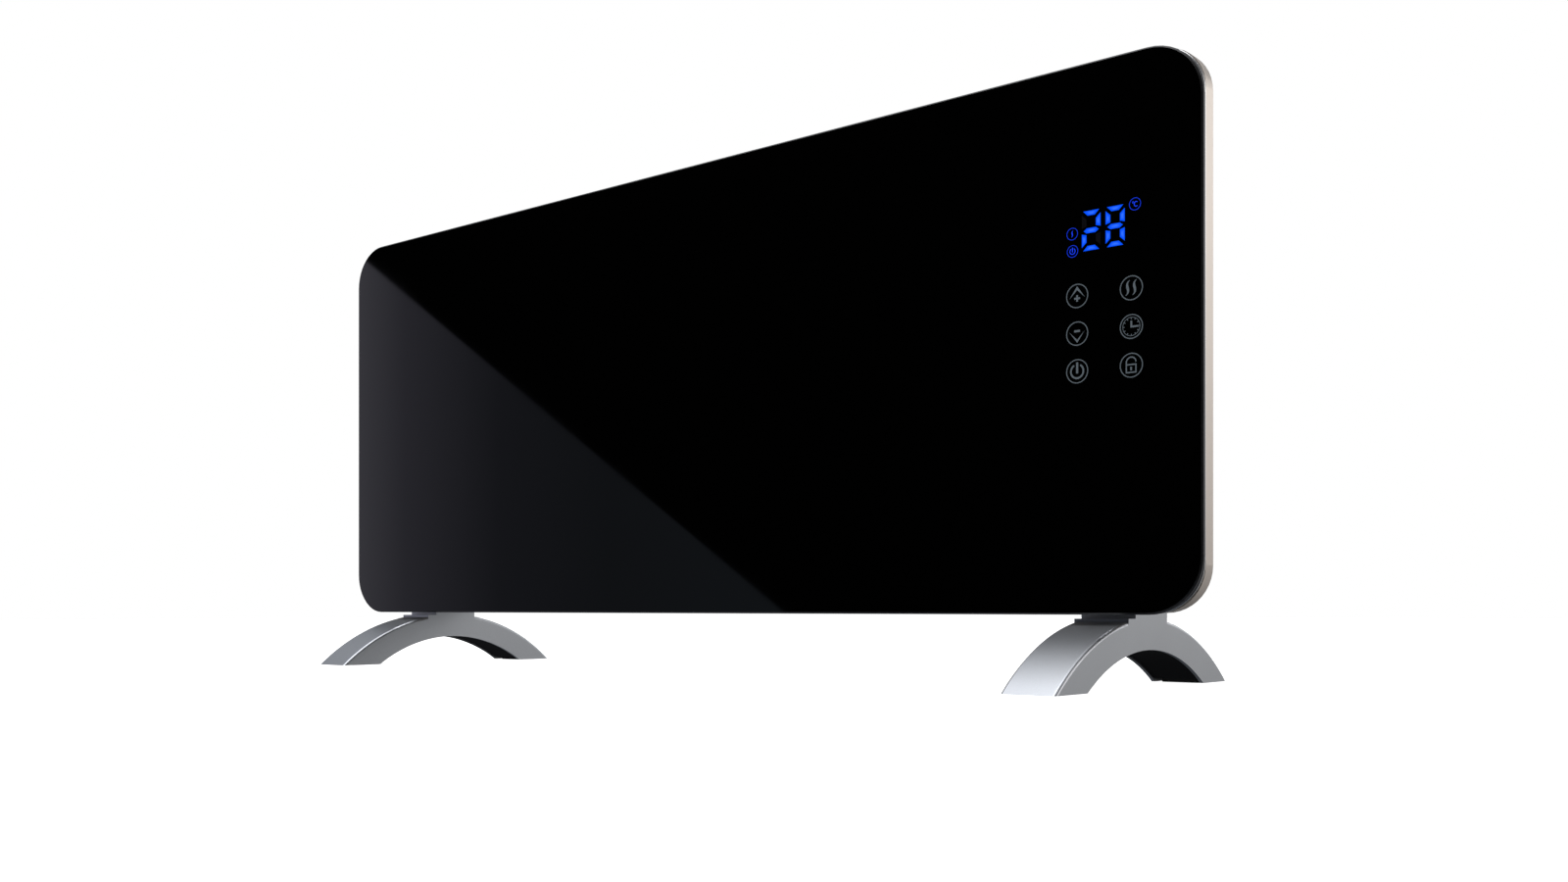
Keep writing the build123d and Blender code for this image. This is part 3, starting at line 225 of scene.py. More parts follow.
@dataclass(frozen=True)
class TemperedGlass:
    """Float glass with black enamel fired on its back and a ground, polished edge.

    The face is a near mirror over black. The edge, turned away from the front, scatters a little
    light and looks dark grey. Its colour carries painted shade: darkest at the face, paler towards the back.
    """

    name: str = "Tempered glass over black enamel"
    face_colour: str = "#020202"
    edge_colour: str = "#303136"
    face_roughness: float = 0.02
    edge_roughness: float = 0.45
    ior: float = 1.52
    smear_mm: float = 90.0
    grind_mm: float = 1.6

    def material(self) -> bpy.types.Material:
        """Builds the material."""
        material = bpy.data.materials.new(self.name)
        material.use_nodes = True
        tree = material.node_tree
        shader = tree.nodes["Principled BSDF"]
        shader.inputs["IOR"].default_value = self.ior
        coords = add_node(tree, "ShaderNodeTexCoord")
        normal = add_node(tree, "ShaderNodeSeparateXYZ", inputs={0: coords.outputs["Normal"]})
        edge = add_node(
            tree,
            "ShaderNodeMapRange",
            {"clamp": True},
            {0: normal.outputs["Y"], 1: -0.97, 2: -0.9, 3: 0.0, 4: 1.0},
        ).outputs[0]
        smear = add_node(
            tree,
            "ShaderNodeTexNoise",
            inputs={"Vector": coords.outputs["Object"], "Scale": 1 / (self.smear_mm * MM), "Detail": 4.0},
        )
        face_gloss = add_node(
            tree,
            "ShaderNodeMapRange",
            inputs={
                0: smear.outputs["Fac"],
                1: 0.35,
                2: 0.7,
                3: self.face_roughness,
                4: 1.6 * self.face_roughness,
            },
        )
        grind = add_node(
            tree,
            "ShaderNodeTexNoise",
            inputs={"Vector": coords.outputs["Object"], "Scale": 1 / (self.grind_mm * MM), "Detail": 1.0},
        )
        # Painted shade on the ground edge: black near the front face, paler towards the back.
        low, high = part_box("glass_panel")
        place = add_node(tree, "ShaderNodeSeparateXYZ", inputs={0: coords.outputs["Object"]})
        painted_edge_shade = add_node(
            tree, "ShaderNodeMapRange", inputs={0: place.outputs["Y"], 1: low.y, 2: high.y, 3: 0.0, 4: 0.8}
        )
        # Grinding grit plus painted shade, which darkens the edge towards the front face.
        grind_and_painted_shade = add_node(
            tree,
            "ShaderNodeMath",
            {"operation": "MULTIPLY_ADD"},
            {0: grind.outputs["Fac"], 1: 0.4, 2: painted_edge_shade.outputs[0]},
        )
        # Edge colour from the grit and painted shade: from a darkened to a lightened edge colour.
        edge_grind_and_shade_colour = add_node(tree, "ShaderNodeValToRGB", inputs={0: grind_and_painted_shade.outputs[0]})
        edge_base = hex_to_linear(self.edge_colour)
        set_ramp(
            edge_grind_and_shade_colour,
            [
                (0.3, tuple(0.15 * c for c in edge_base[:3]) + (1.0,)),
                (0.95, tuple(1.6 * c for c in edge_base[:3]) + (1.0,)),
            ],
        )
        colour = add_node(
            tree,
            "ShaderNodeMix",
            {"data_type": "RGBA"},
            {0: edge, 6: hex_to_linear(self.face_colour), 7: edge_grind_and_shade_colour.outputs[0]},
        )
        tree.links.new(colour.outputs[2], shader.inputs["Base Color"])
        gloss = add_node(
            tree,
            "ShaderNodeMix",
            {"data_type": "FLOAT"},
            {0: edge, 2: face_gloss.outputs[0], 3: self.edge_roughness},
        )
        tree.links.new(gloss.outputs[0], shader.inputs["Roughness"])
        return material


@dataclass(frozen=True)
class LitDiffuser:
    """Milky display diffuser with a blue lamp behind it, brighter in the middle of each bar."""

    name: str
    rim: str
    core: str
    strength: float = 1.0
    speckle_mm: float = 1.0

    def material(self) -> bpy.types.Material:
        """Returns the glowing material, made on first use. The mesh's glow attribute lifts the core."""
        found = bpy.data.materials.get(self.name)
        if found:
            return found
        material = bpy.data.materials.new(self.name)
        material.use_nodes = True
        tree = material.node_tree
        shader = tree.nodes["Principled BSDF"]
        shader.inputs["Roughness"].default_value = 0.5
        shader.inputs["Emission Strength"].default_value = self.strength
        shader.inputs["Specular IOR Level"].default_value = 0.1
        shader.inputs["Base Color"].default_value = (0.0, 0.0, 0.004, 1.0)
        glow = add_node(tree, "ShaderNodeAttribute", {"attribute_name": "glow"})
        coords = add_node(tree, "ShaderNodeTexCoord")
        speckle = add_node(
            tree,
            "ShaderNodeTexNoise",
            inputs={"Vector": coords.outputs["Object"], "Scale": 1 / (self.speckle_mm * MM)},
        )
        uneven = add_node(
            tree, "ShaderNodeMapRange", inputs={0: speckle.outputs["Fac"], 1: 0.3, 2: 0.7, 3: 0.8, 4: 1.1}
        )
        level = add_node(
            tree,
            "ShaderNodeMath",
            {"operation": "MULTIPLY"},
            {0: glow.outputs["Fac"], 1: uneven.outputs[0]},
        )
        ramp = add_node(tree, "ShaderNodeValToRGB", inputs={0: level.outputs[0]})
        set_ramp(ramp, [(0.3, hex_to_linear(self.rim)), (1.0, hex_to_linear(self.core))])
        tree.links.new(ramp.outputs[0], shader.inputs["Emission Color"])
        return material


# Champagne-silver powder coat: a warm metallic paint with a soft sheen and slight orange peel.
CASING_COAT = Finish(
    "Powder-coated steel, champagne silver", "#d9cfc6", 0.36, metallic=0.75, grain_mm=1.6, relief_mm=0.012,
    tone=0.03, cloud=0.01,
)
# Rolled strip with a bright cut edge: it gives the thin light line between glass and casing.
BRIGHT_STRIP = Finish(
    "Rolled steel strip, bright zinc", "#dcdcdc", 0.22, metallic=1.0, grain=Grain.DRAWN_LONG, grain_mm=0.8,
    tone=0.05,
)
# Bead-blasted, clear-lacquered aluminium: satin, faintly mottled, cooler than the casing.
FOOT_METAL = Finish(
    "Bead-blasted aluminium, clear lacquer", "#c6c9ce", 0.4, metallic=1.0, grain_mm=1.2, relief_mm=0.003,
    tone=0.03, gloss_spread=0.02, cloud=0.02,
)
FOOT_UNDERSIDE = Finish("Moulded ABS, black", "#030303", 0.7, grain_mm=1.2, relief_mm=0.02, specular=0.2)
REAR_COAT = Finish(
    "Powder-coated steel, satin black", "#17181a", 0.45, grain_mm=1.4, relief_mm=0.03, tone=0.1,
)
GRILLE_MOULDING = Finish("Moulded PBT, black", "#101112", 0.5, grain_mm=1.0, relief_mm=0.02, tone=0.1)
SOFT_SEAL = Finish("Closed-cell foam, black", "#0b0b0b", 0.9, grain_mm=1.0, relief_mm=0.06, tone=0.25)
ZINC_STEEL = Finish("Pressed steel, zinc plated", "#c2c3c4", 0.3, metallic=1.0, grain_mm=2.0, tone=0.06)
ALUMINISED = Finish(
    "Rolled steel, aluminised", "#c9cacb", 0.35, metallic=1.0, grain=Grain.BRUSHED_ACROSS, grain_mm=0.8,
)
EXTRUDED = Finish(
    "Extruded aluminium", "#c3c5c7", 0.4, metallic=1.0, grain=Grain.DRAWN_LONG, grain_mm=1.0, relief_mm=0.01,
)
OXIDISED = Finish("Stainless tube, heat oxidised", "#6a625b", 0.45, metallic=1.0, tone=0.15, cloud=0.12)
STEATITE = Finish("Steatite ceramic, fired", "#e6e0d2", 0.55, grain_mm=1.2, relief_mm=0.02)
PHENOLIC = Finish("Moulded phenolic", "#2a1b14", 0.45, grain_mm=1.0, tone=0.12)
SLEEVE = Finish("Silicone-glass sleeve, braided", "#dcd4c2", 0.8, grain_mm=0.8, relief_mm=0.05, tone=0.1)
EPOXY = Finish("Epoxy, dipped", "#0d0d0e", 0.25, grain_mm=2.5, relief_mm=0.02)
FLAME_SAFE = Finish("Moulded PC-ABS, charcoal", "#1c1c1e", 0.5, grain_mm=1.0, relief_mm=0.02, tone=0.08)
BOARD = Finish("Glass-epoxy board, green solder mask", "#0d4a26", 0.35, grain_mm=1.5, tone=0.12, coat=0.3)
CLEAR_GUIDE = Finish("Moulded acrylic, frosted", "#c8ced6", 0.4, grain_mm=1.0)
SPRING_WIRE = Finish("Drawn spring wire", "#b8b5ad", 0.28, metallic=1.0, grain=Grain.DRAWN_LONG)
RELAY_CASE = Finish("Moulded PBT, blue", "#0c2f6e", 0.35, grain_mm=1.0)
TAPE_YELLOW = Finish("Polyester tape, yellow", "#b8931f", 0.4, grain_mm=1.5)
SHRINK = Finish("Shrink sleeve, dark blue", "#0c0f26", 0.3, grain_mm=1.5)
TERMINALS = Finish("Moulded polyamide, green", "#1e5a33", 0.45, grain_mm=1.0)
SWITCH_BODY = Finish("Moulded polyamide, black", "#0c0c0d", 0.38, grain_mm=1.0, relief_mm=0.015)
ROCKER_SKIN = Finish("Moulded polycarbonate, gloss black", "#0a0a0b", 0.18, grain_mm=1.6, relief_mm=0.006)
TINNED = Finish("Stamped brass, tinned", "#c4c0b2", 0.3, metallic=1.0)
BRASS = Finish("Turned brass", "#b9924a", 0.28, metallic=1.0, grain_mm=0.8)
NYLON = Finish("Moulded nylon, black", "#0e0e0f", 0.5, grain_mm=1.0, relief_mm=0.03)
PAD_RUBBER = Finish("Moulded rubber, black", "#101010", 0.85, grain_mm=1.0, relief_mm=0.05, tone=0.15)
LEAD_SKIN = Finish("Extruded silicone insulation, grey", "#b4b4ae", 0.55, grain_mm=1.5)
EARTH_SKIN = Finish("Extruded PVC, green and yellow", "#7fa321", 0.45, grain_mm=4.0, tone=0.5)
FLAT_CABLE = Finish("Ribbed flat cable, grey", "#9a9a9e", 0.5, grain=Grain.EVEN, grain_mm=1.27, relief_mm=0.1)
SYMBOL_INK = Finish(
    "Ceramic ink, screen printed grey", "#68737b", 0.5, grain_mm=0.8, relief_mm=0.004, tone=0.1, cloud=0.02
)
UNLIT_BAR = Finish("Display diffuser, unlit", "#05050c", 0.5, grain_mm=1.0, tone=0.1, specular=0.15)
MARK_INK = Finish("Pad-printed ink, white", "#d8d8d4", 0.5, grain_mm=0.8)
DIGIT_LIGHT = LitDiffuser("Display diffuser, lit blue", "#0052ff", "#3474ff", 1.0)
SIGN_LIGHT = LitDiffuser("Sign diffuser, lit blue", "#0a28d8", "#1c44ff", 1.0)

NODE_FINISHES: dict[str, Finish] = {
    "bonding_tape": SOFT_SEAL,
    "joint_gasket": SOFT_SEAL,
    "glass_carrier": BRIGHT_STRIP,
    "casing_tray": CASING_COAT,
    "panel_screws": ZINC_STEEL,
    "cover_screws": ZINC_STEEL,
    "rear_cover": REAR_COAT,
    "outlet_grille": GRILLE_MOULDING,
    "hanger_plates": ZINC_STEEL,
    "heat_shield": ALUMINISED,
    "partition_plate": ALUMINISED,
    "element_fins_1": EXTRUDED,
    "element_fins_2": EXTRUDED,
    "element_rod_1": OXIDISED,
    "element_rod_2": OXIDISED,
    "element_bracket_left": ALUMINISED,
    "element_bracket_right": ALUMINISED,
    "ceramic_bushes": STEATITE,
    "thermal_cutout": PHENOLIC,
    "thermal_fuse": SLEEVE,
    "fuse_clip": ZINC_STEEL,
    "shield_rivets": EXTRUDED,
    "room_sensor": EPOXY,
    "control_housing": FLAME_SAFE,
    "control_board": BOARD,
    "control_screws": ZINC_STEEL,
    "display_module": EPOXY,
    "indicator_light_guides": CLEAR_GUIDE,
    "touch_springs": SPRING_WIRE,
    "power_board": BOARD,
    "board_standoffs": TINNED,
    "relays": RELAY_CASE,
    "board_transformer": TAPE_YELLOW,
    "board_capacitors": SHRINK,
    "terminal_block": TERMINALS,
    "tilt_housing": FLAME_SAFE,
    "tilt_lid": FLAME_SAFE,
    "tilt_pivot_pin": ZINC_STEEL,
    "tilt_optical_sensor": EPOXY,
    "tilt_pendulum": BRASS,
    "switch_housing": SWITCH_BODY,
    "switch_terminals": TINNED,
    "rocker": ROCKER_SKIN,
    "cord_gland": NYLON,
    "gland_nut": NYLON,
    "foot_shell_left": FOOT_METAL,
    "foot_shell_right": FOOT_METAL,
    "foot_liner_left": FOOT_UNDERSIDE,
    "foot_liner_right": FOOT_UNDERSIDE,
    "foot_pads": PAD_RUBBER,
    "foot_screws": ZINC_STEEL,
    "foot_nut_plates": ZINC_STEEL,
    "switch_leads": LEAD_SKIN,
    "element_leads": LEAD_SKIN,
    "earth_stud": TINNED,
    "earth_lead": EARTH_SKIN,
    "ribbon_cable": FLAT_CABLE,
}


# --------------------------------------------------------------------- flat printed pieces
@dataclass
class Drawing:
    """A flat symbol in millimetres about its own centre, kept as simple outlines.

    Strokes are added as short quads that share their corners, so that a symbol is one clean sheet.
    """

    outlines: list[Outline] = field(default_factory=list)
    cores: list[Outline] = field(default_factory=list)

    def shape(self, points: Sequence[Point2]) -> "Drawing":
        """Adds one closed outline."""
        self.outlines.append(list(points))
        return self

    def bar(self, x0: float, z0: float, x1: float, z1: float) -> "Drawing":
        """Adds an upright rectangle between two corners."""
        return self.shape([(x0, z0), (x1, z0), (x1, z1), (x0, z1)])

    def stroke(self, points: Sequence[Point2], widths: Sequence[float], closed: bool = False) -> "Drawing":
        """Adds a line of varying width with mitred corners.

        Args:
            points: the middle of the line.
            widths: its full width at each point.
            closed: whether the last point joins the first.

        Returns:
            This drawing.
        """
        count = len(points)
        sides: list[tuple[Point2, Point2]] = []
        for i, (x, z) in enumerate(points):
            before = points[i - 1] if closed or i > 0 else points[i]
            after = points[(i + 1) % count] if closed or i < count - 1 else points[i]
            into = Vector((x - before[0], z - before[1]))
            out = Vector((after[0] - x, after[1] - z))
            into = into.normalized() if into.length > 0 else out.normalized()
            out = out.normalized() if out.length > 0 else into
            along = (into + out).normalized()
            half = widths[i] / 2 / max(0.3, along.dot(into))
            sides.append(((x - along.y * half, z + along.x * half), (x + along.y * half, z - along.x * half)))
        for i in range(count if closed else count - 1):
            (a, b), (c, d) = sides[i], sides[(i + 1) % count]
            self.outlines.append([a, b, d, c])
        return self

    def arc(
        self,
        radius: float,
        width: float,
        start: float = 0.0,
        end: float = 360.0,
        centre: Point2 = (0.0, 0.0),
        squeeze: float = 1.0,
        steps: int = 64,
    ) -> "Drawing":
        """Adds a circular line.

        Args:
            radius: radius of the middle of the line.
            width: the line's width.
            start: start angle in degrees, from +X towards +Z.
            end: end angle in degrees; a full turn closes the ring.
            centre: centre of the circle.
            squeeze: width of the circle over its height.
            steps: number of straight steps.

        Returns:
            This drawing.
        """
        closed = abs(end - start) >= 360.0
        count = steps if closed else steps + 1
        points = []
        for i in range(count):
            angle = math.radians(start + (end - start) * i / steps)
            points.append(
                (centre[0] + squeeze * radius * math.cos(angle), centre[1] + radius * math.sin(angle))
            )
        return self.stroke(points, [width] * count, closed)

    def wave(self, x: float, z: float, size: float = 1.0) -> "Drawing":
        """Adds one rising-heat wave, a long S that thins at both ends.

        Args:
            x: place of its middle.
            z: place of its middle.
            size: scale of the wave, 1 for the touch symbols.

        Returns:
            This drawing.
        """
        half_height = 4.8
        points = []
        widths = []
        steps = 20
        for i in range(steps + 1):
            t = 2 * i / steps - 1
            sway = 1.35 * math.copysign(abs(t) ** 4, t) - 0.4 * math.sin(math.pi * t)
            points.append((x + size * sway, z + size * half_height * t))
            widths.append(size * (0.3 + 1.4 * (1 - abs(t) ** 1.8)))
        return self.stroke(points, widths)

    def power(self, size: float = 1.0) -> "Drawing":
        """Adds a stand-by symbol: an open ring with an upright bar.

        Args:
            size: scale of the symbol, 1 for the touch symbols.

        Returns:
            This drawing.
        """
        gap = 29.0
        self.arc(4.5 * size, 1.2 * size, 90 + gap, 450 - gap, (0.0, 0.0))
        return self.bar(-0.75 * size, -1.4 * size, 0.75 * size, 5.9 * size)

    def lit_bar(self, points: Sequence[Point2]) -> "Drawing":
        """Adds one display bar with a brighter core."""
        middle = [sum(p[i] for p in points) / len(points) for i in (0, 1)]
        shrink = 0.18
        core = [
            (middle[0] + shrink * (x - middle[0]), middle[1] + shrink * (z - middle[1])) for x, z in points
        ]
        count = len(points)
        for i in range(count):
            j = (i + 1) % count
            self.outlines.append([points[i], points[j], core[j], core[i]])
        self.outlines.append(core)
        self.cores.append(core)
        return self


@dataclass(frozen=True)
class Printer:
    """Turns drawings into thin solid pieces that lie on the glass."""

    face_y: float
    lift_mm: float = 0.02
    thickness_mm: float = 0.05

    def piece(
        self, name: str, drawing: Drawing, x: float, z: float, body: str, slot: str
    ) -> bpy.types.Object:
        """Builds one printed piece.

        Args:
            name: name of the new object.
            drawing: its outlines in millimetres.
            x: place of its centre.
            z: place of its centre.
            body: CAD body that it rides on.
            slot: name of the record's material slot; not used.

        Returns:
            The new object, not yet dressed.
        """
        sheet = bmesh.new()
        glow = sheet.verts.layers.float.new("glow")
        back = self.face_y - self.lift_mm * MM
        lit = {self._key(p) for core in drawing.cores for p in core}
        whole = not drawing.cores
        for outline in drawing.outlines:
            corners = []
            for p in outline:
                vert = sheet.verts.new((x + p[0] * MM, back, z + p[1] * MM))
                vert[glow] = 1.0 if whole or self._key(p) in lit else 0.0
                corners.append(vert)
            sheet.faces.new(corners)
        bmesh.ops.remove_doubles(sheet, verts=sheet.verts, dist=1e-6)
        raised = bmesh.ops.extrude_face_region(sheet, geom=sheet.faces[:])
        tops = [g for g in raised["geom"] if isinstance(g, bmesh.types.BMVert)]
        bmesh.ops.translate(sheet, verts=tops, vec=(0, -self.thickness_mm * MM, 0))
        bmesh.ops.recalc_face_normals(sheet, faces=sheet.faces[:])
        mesh = bpy.data.meshes.new(name)
        sheet.to_mesh(mesh)
        sheet.free()
        piece = bpy.data.objects.new(name, mesh)
        bpy.context.scene.collection.objects.link(piece)
        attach(piece, body)
        return piece

    @staticmethod
    def _key(point: Point2) -> Point2:
        """Rounds a point so that equal points compare equal."""
        return (round(point[0], 4), round(point[1], 4))


def dress(piece: bpy.types.Object, material: bpy.types.Material) -> None:
    """Gives a piece one material.

    Args:
        piece: the object.
        material: its new material.
    """
    piece.data.materials.clear()
    piece.data.materials.append(material)


# ------------------------------------------------------------------------ sub-assemblies
class Sign(Enum):
    """The printed touch symbols, with their column and row on the glass."""

    WARMER = (0, 0)
    COOLER = (0, 1)
    POWER = (0, 2)
    HEAT_LEVEL = (1, 0)
    TIMER = (1, 1)
    LOCK = (1, 2)


@dataclass
class TouchField:
    """Six ringed touch symbols in two columns, printed on the right end of the glass."""

    column_mm: tuple[float, float] = (354.35, 392.5)
    row_mm: tuple[float, float, float] = (208.65, 184.0, 159.3)
    ring_mm: float = 7.6
    line_mm: float = 0.65

    def build(self, printer: Printer, glass_bottom: float) -> None:
        """Prints every symbol.

        Args:
            printer: lays drawings on the glass.
            glass_bottom: height of the lower edge of the glass.
        """
        for sign in Sign:
            drawing = self._glyph(sign).arc(self.ring_mm, self.line_mm)
            column, row = sign.value
            name = f"touch_{sign.name.lower()}"
            x = self.column_mm[column] * MM
            z = glass_bottom + self.row_mm[row] * MM
            dress(printer.piece(name, drawing, x, z, BODY, "black_glass"), SYMBOL_INK.material())
            LOG.info("printed %s", name)

    def _glyph(self, sign: Sign) -> Drawing:
        """Returns the symbol inside a ring."""
        drawing = Drawing()
        if sign is Sign.WARMER:
            drawing.shape([(-5.6, -1.6), (0.0, 3.8), (5.5, -1.3), (0.0, 6.3)])
            arm, reach, low = 0.65, 2.15, -1.65
            plus = [(-arm, reach), (arm, reach), (arm, arm), (reach, arm), (reach, -arm), (arm, -arm)]
            plus += [(-x, -z) for x, z in plus]
            drawing.shape([(x, z + low) for x, z in plus])
        elif sign is Sign.COOLER:
            drawing.shape([(-5.8, 1.5), (0.0, -6.1), (5.3, 1.4), (0.0, -4.1)])
            drawing.bar(-2.2, 0.9, 2.1, 2.3)
        elif sign is Sign.POWER:
            drawing.power()
        elif sign is Sign.HEAT_LEVEL:
            drawing.wave(-2.55, 0.2).wave(2.2, 0.2)
        elif sign is Sign.TIMER:
            self._clock(drawing)
        else:
            self._padlock(drawing)
        return drawing

    @staticmethod
    def _clock(drawing: Drawing) -> None:
        """Draws a dial with twelve ticks and its hands at three o'clock."""
        rim, rim_line, tick = 5.9, 0.38, 1.0
        drawing.arc(rim, rim_line)
        for hour in range(12):
            angle = math.radians(30 * hour)
            inner, outer = rim - rim_line / 2 - tick, rim - rim_line / 2
            ends = [(r * math.sin(angle), r * math.cos(angle)) for r in (inner, outer)]
            drawing.stroke(ends, [0.5, 0.5])
        drawing.shape([(-0.6, 3.7), (-0.6, -0.7), (5.2, -0.7), (5.2, 0.45), (0.6, 0.45), (0.6, 3.7)])

    @staticmethod
    def _padlock(drawing: Drawing) -> None:
        """Draws an open padlock: a square outline, a hooked shackle and a keyhole."""
        line = 0.85
        left, right, low, high = -3.45, 3.15, -4.55, 0.45
        drawing.stroke([(left, low), (right, low), (right, high), (left, high)], [line] * 4, closed=True)
        centre_x, spring, radius = (left + right) / 2, 1.9, (right - left) / 2
        hook = [(left, high + line / 2), (left, spring)]
        for i in range(1, 25):
            angle = math.radians(180 - 178 * i / 24)
            hook.append((centre_x + radius * math.cos(angle), spring + radius * math.sin(angle)))
        drawing.stroke(hook, [line] * len(hook))
        drawing.bar(-0.75, -3.3, 0.45, -1.0)


@dataclass
class DigitDisplay:
    """Two seven-bar digits and three small ringed signs that shine blue through the glass."""

    digit_x_mm: tuple[float, float] = (364.4, 381.3)
    middle_mm: float = 250.05
    half_width_mm: float = 6.65
    half_height_mm: float = 12.95
    bar_across_mm: float = 3.1
    bar_upright_mm: float = 3.3
    sign_ring_mm: float = 3.85
    sign_line_mm: float = 0.28
    shown: tuple[str, str] = ("abged", "abcdefg")

    def build(self, printer: Printer, glass_bottom: float) -> None:
        """Builds the digits and the signs.

        Args:
            printer: lays drawings on the glass.
            glass_bottom: height of the lower edge of the glass.
        """
        bars = self._bars()
        z = glass_bottom + self.middle_mm * MM
        for name, x_mm, shown in zip(("digit_tens", "digit_units"), self.digit_x_mm, self.shown):
            lit, unlit = Drawing(), Drawing()
            for key, outline in bars.items():
                if key in shown:
                    lit.lit_bar(outline)
                else:
                    unlit.shape(outline)
            dress(printer.piece(name, lit, x_mm * MM, z, BODY, "display_plastic"), DIGIT_LIGHT.material())
            if unlit.outlines:
                piece = printer.piece(name + "_unlit", unlit, x_mm * MM, z, BODY, "display_plastic")
                dress(piece, UNLIT_BAR.material())
            LOG.info("lit %s", name)
        degrees = Drawing().arc(1.5, 0.5, 48, 312, (0.75, -0.1), 0.85).arc(0.5, 0.3, centre=(-1.35, 1.2))
        signs = {
            "sign_celsius": (degrees, 395.0, 261.8),
            "sign_heating": (Drawing().wave(0.0, 0.0, 0.45), 350.8, 249.7),
            "sign_power": (Drawing().power(0.42), 351.0, 238.3),
        }
        for name, (drawing, x_mm, z_mm) in signs.items():
            drawing.arc(self.sign_ring_mm, self.sign_line_mm)
            place = (x_mm * MM, glass_bottom + z_mm * MM)
            dress(printer.piece(name, drawing, *place, BODY, "display_plastic"), SIGN_LIGHT.material())
            LOG.info("lit %s", name)

    def _bars(self) -> dict[str, Outline]:
        """Returns the outline of each bar, lettered a to g in the usual order."""
        w, h = self.half_width_mm, self.half_height_mm
        t, u = self.bar_across_mm, self.bar_upright_mm
        end = 0.95
        top = [(-w + end, h), (w - end, h), (w - end - t, h - t), (-w + end + t, h - t)]
        right = [(w, h - 2.4), (w, 1.9), (w - u, 2.8), (w - u, h - 5.4)]
        tip = 1.3
        middle = [
            (-w + tip, 0.0),
            (-w + 3.6, 1.65),
            (w - 3.3, 1.65),
            (w - tip, 0.0),
            (w - 3.6, -1.65),
            (-w + 3.3, -1.65),
        ]
        return {
            "a": top,
            "b": right,
            "c": [(x, -z) for x, z in right],
            "d": [(x, -z) for x, z in top],
            "e": [(-x, -z) for x, z in right],
            "f": [(-x, z) for x, z in right],
            "g": middle,
        }


@dataclass
class GlassFront:
    """The glass panel with everything printed on it or lit behind it."""

    glass: TemperedGlass = TemperedGlass()
    touch: TouchField = field(default_factory=TouchField)
    display: DigitDisplay = field(default_factory=DigitDisplay)

    def build(self) -> None:
        """Dresses the glass and lays the symbols and the display on it."""
        low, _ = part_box("glass_panel")
        dress(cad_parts["glass_panel"], self.glass.material())
        printer = Printer(low.y)
        self.touch.build(printer, low.z)
        self.display.build(printer, low.z)


@dataclass
class CarriedParts:
    """Every other CAD part, dressed with the finish that the real one has."""

    finishes: dict[str, Finish] = field(default_factory=lambda: NODE_FINISHES)

    def build(self) -> None:
        """Dresses each part by name."""
        for name, finish in self.finishes.items():
            dress(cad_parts[name], finish.material())
            LOG.info("dressed %s as %s", name, finish.name)


@dataclass
class RockerMarks:
    """The on and off marks, a bar and a ring, printed on the two halves of the rocker's face."""

    line_mm: float = 0.7
    bar_mm: float = 3.6
    ring_mm: float = 1.7
    along: float = 0.52
    lift_mm: float = 0.02

    def build(self) -> None:
        """Prints the bar on the upper half and the ring on the lower half."""
        low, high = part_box("rocker")
        half = (high.z - low.z) / 2
        middle = (low + high) / 2
        marks = {"rocker_mark_on": (1, self._bar()), "rocker_mark_off": (-1, self._ring())}
        for name, (side, outline) in marks.items():
            self._print(name, outline, middle.y, middle.z + side * self.along * half)

    def _bar(self) -> list[Outline]:
        """Returns the outline of the upright bar."""
        x, z = self.line_mm / 2, self.bar_mm / 2
        return [[(-x, -z), (x, -z), (x, z), (-x, z)]]

    def _ring(self) -> list[Outline]:
        """Returns the outlines of the ring."""
        return Drawing().arc(self.ring_mm, self.line_mm, steps=32).outlines

    def _print(self, name: str, outlines: list[Outline], y: float, z: float) -> None:
        """Lays one mark on the sloping face of the rocker.

        Args:
            name: name of the new object.
            outlines: its outlines in millimetres.
            y: place of its centre.
            z: place of its centre.
        """
        skin = BVHTree.FromObject(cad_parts["rocker"], bpy.context.evaluated_depsgraph_get())
        sheet = bmesh.new()
        start_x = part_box("rocker")[1].x + MM
        for outline in outlines:
            corners = []
            for across, up in outline:
                eye = Vector((start_x, y + across * MM, z + up * MM))
                spot, normal, _, _ = skin.ray_cast(eye, Vector((-1, 0, 0)))
                corners.append(sheet.verts.new(spot + normal * self.lift_mm * MM))
            sheet.faces.new(corners)
        bmesh.ops.remove_doubles(sheet, verts=sheet.verts, dist=1e-6)
        raised = bmesh.ops.extrude_face_region(sheet, geom=sheet.faces[:])
        tops = [g for g in raised["geom"] if isinstance(g, bmesh.types.BMVert)]
        bmesh.ops.translate(sheet, verts=tops, vec=(self.lift_mm * MM, 0, 0))
        bmesh.ops.recalc_face_normals(sheet, faces=sheet.faces[:])
        mesh = bpy.data.meshes.new(name)
        sheet.to_mesh(mesh)
        sheet.free()
        mark = bpy.data.objects.new(name, mesh)
        bpy.context.scene.collection.objects.link(mark)
        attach(mark, "rocker")
        dress(mark, MARK_INK.material())
        LOG.info("printed %s", name)


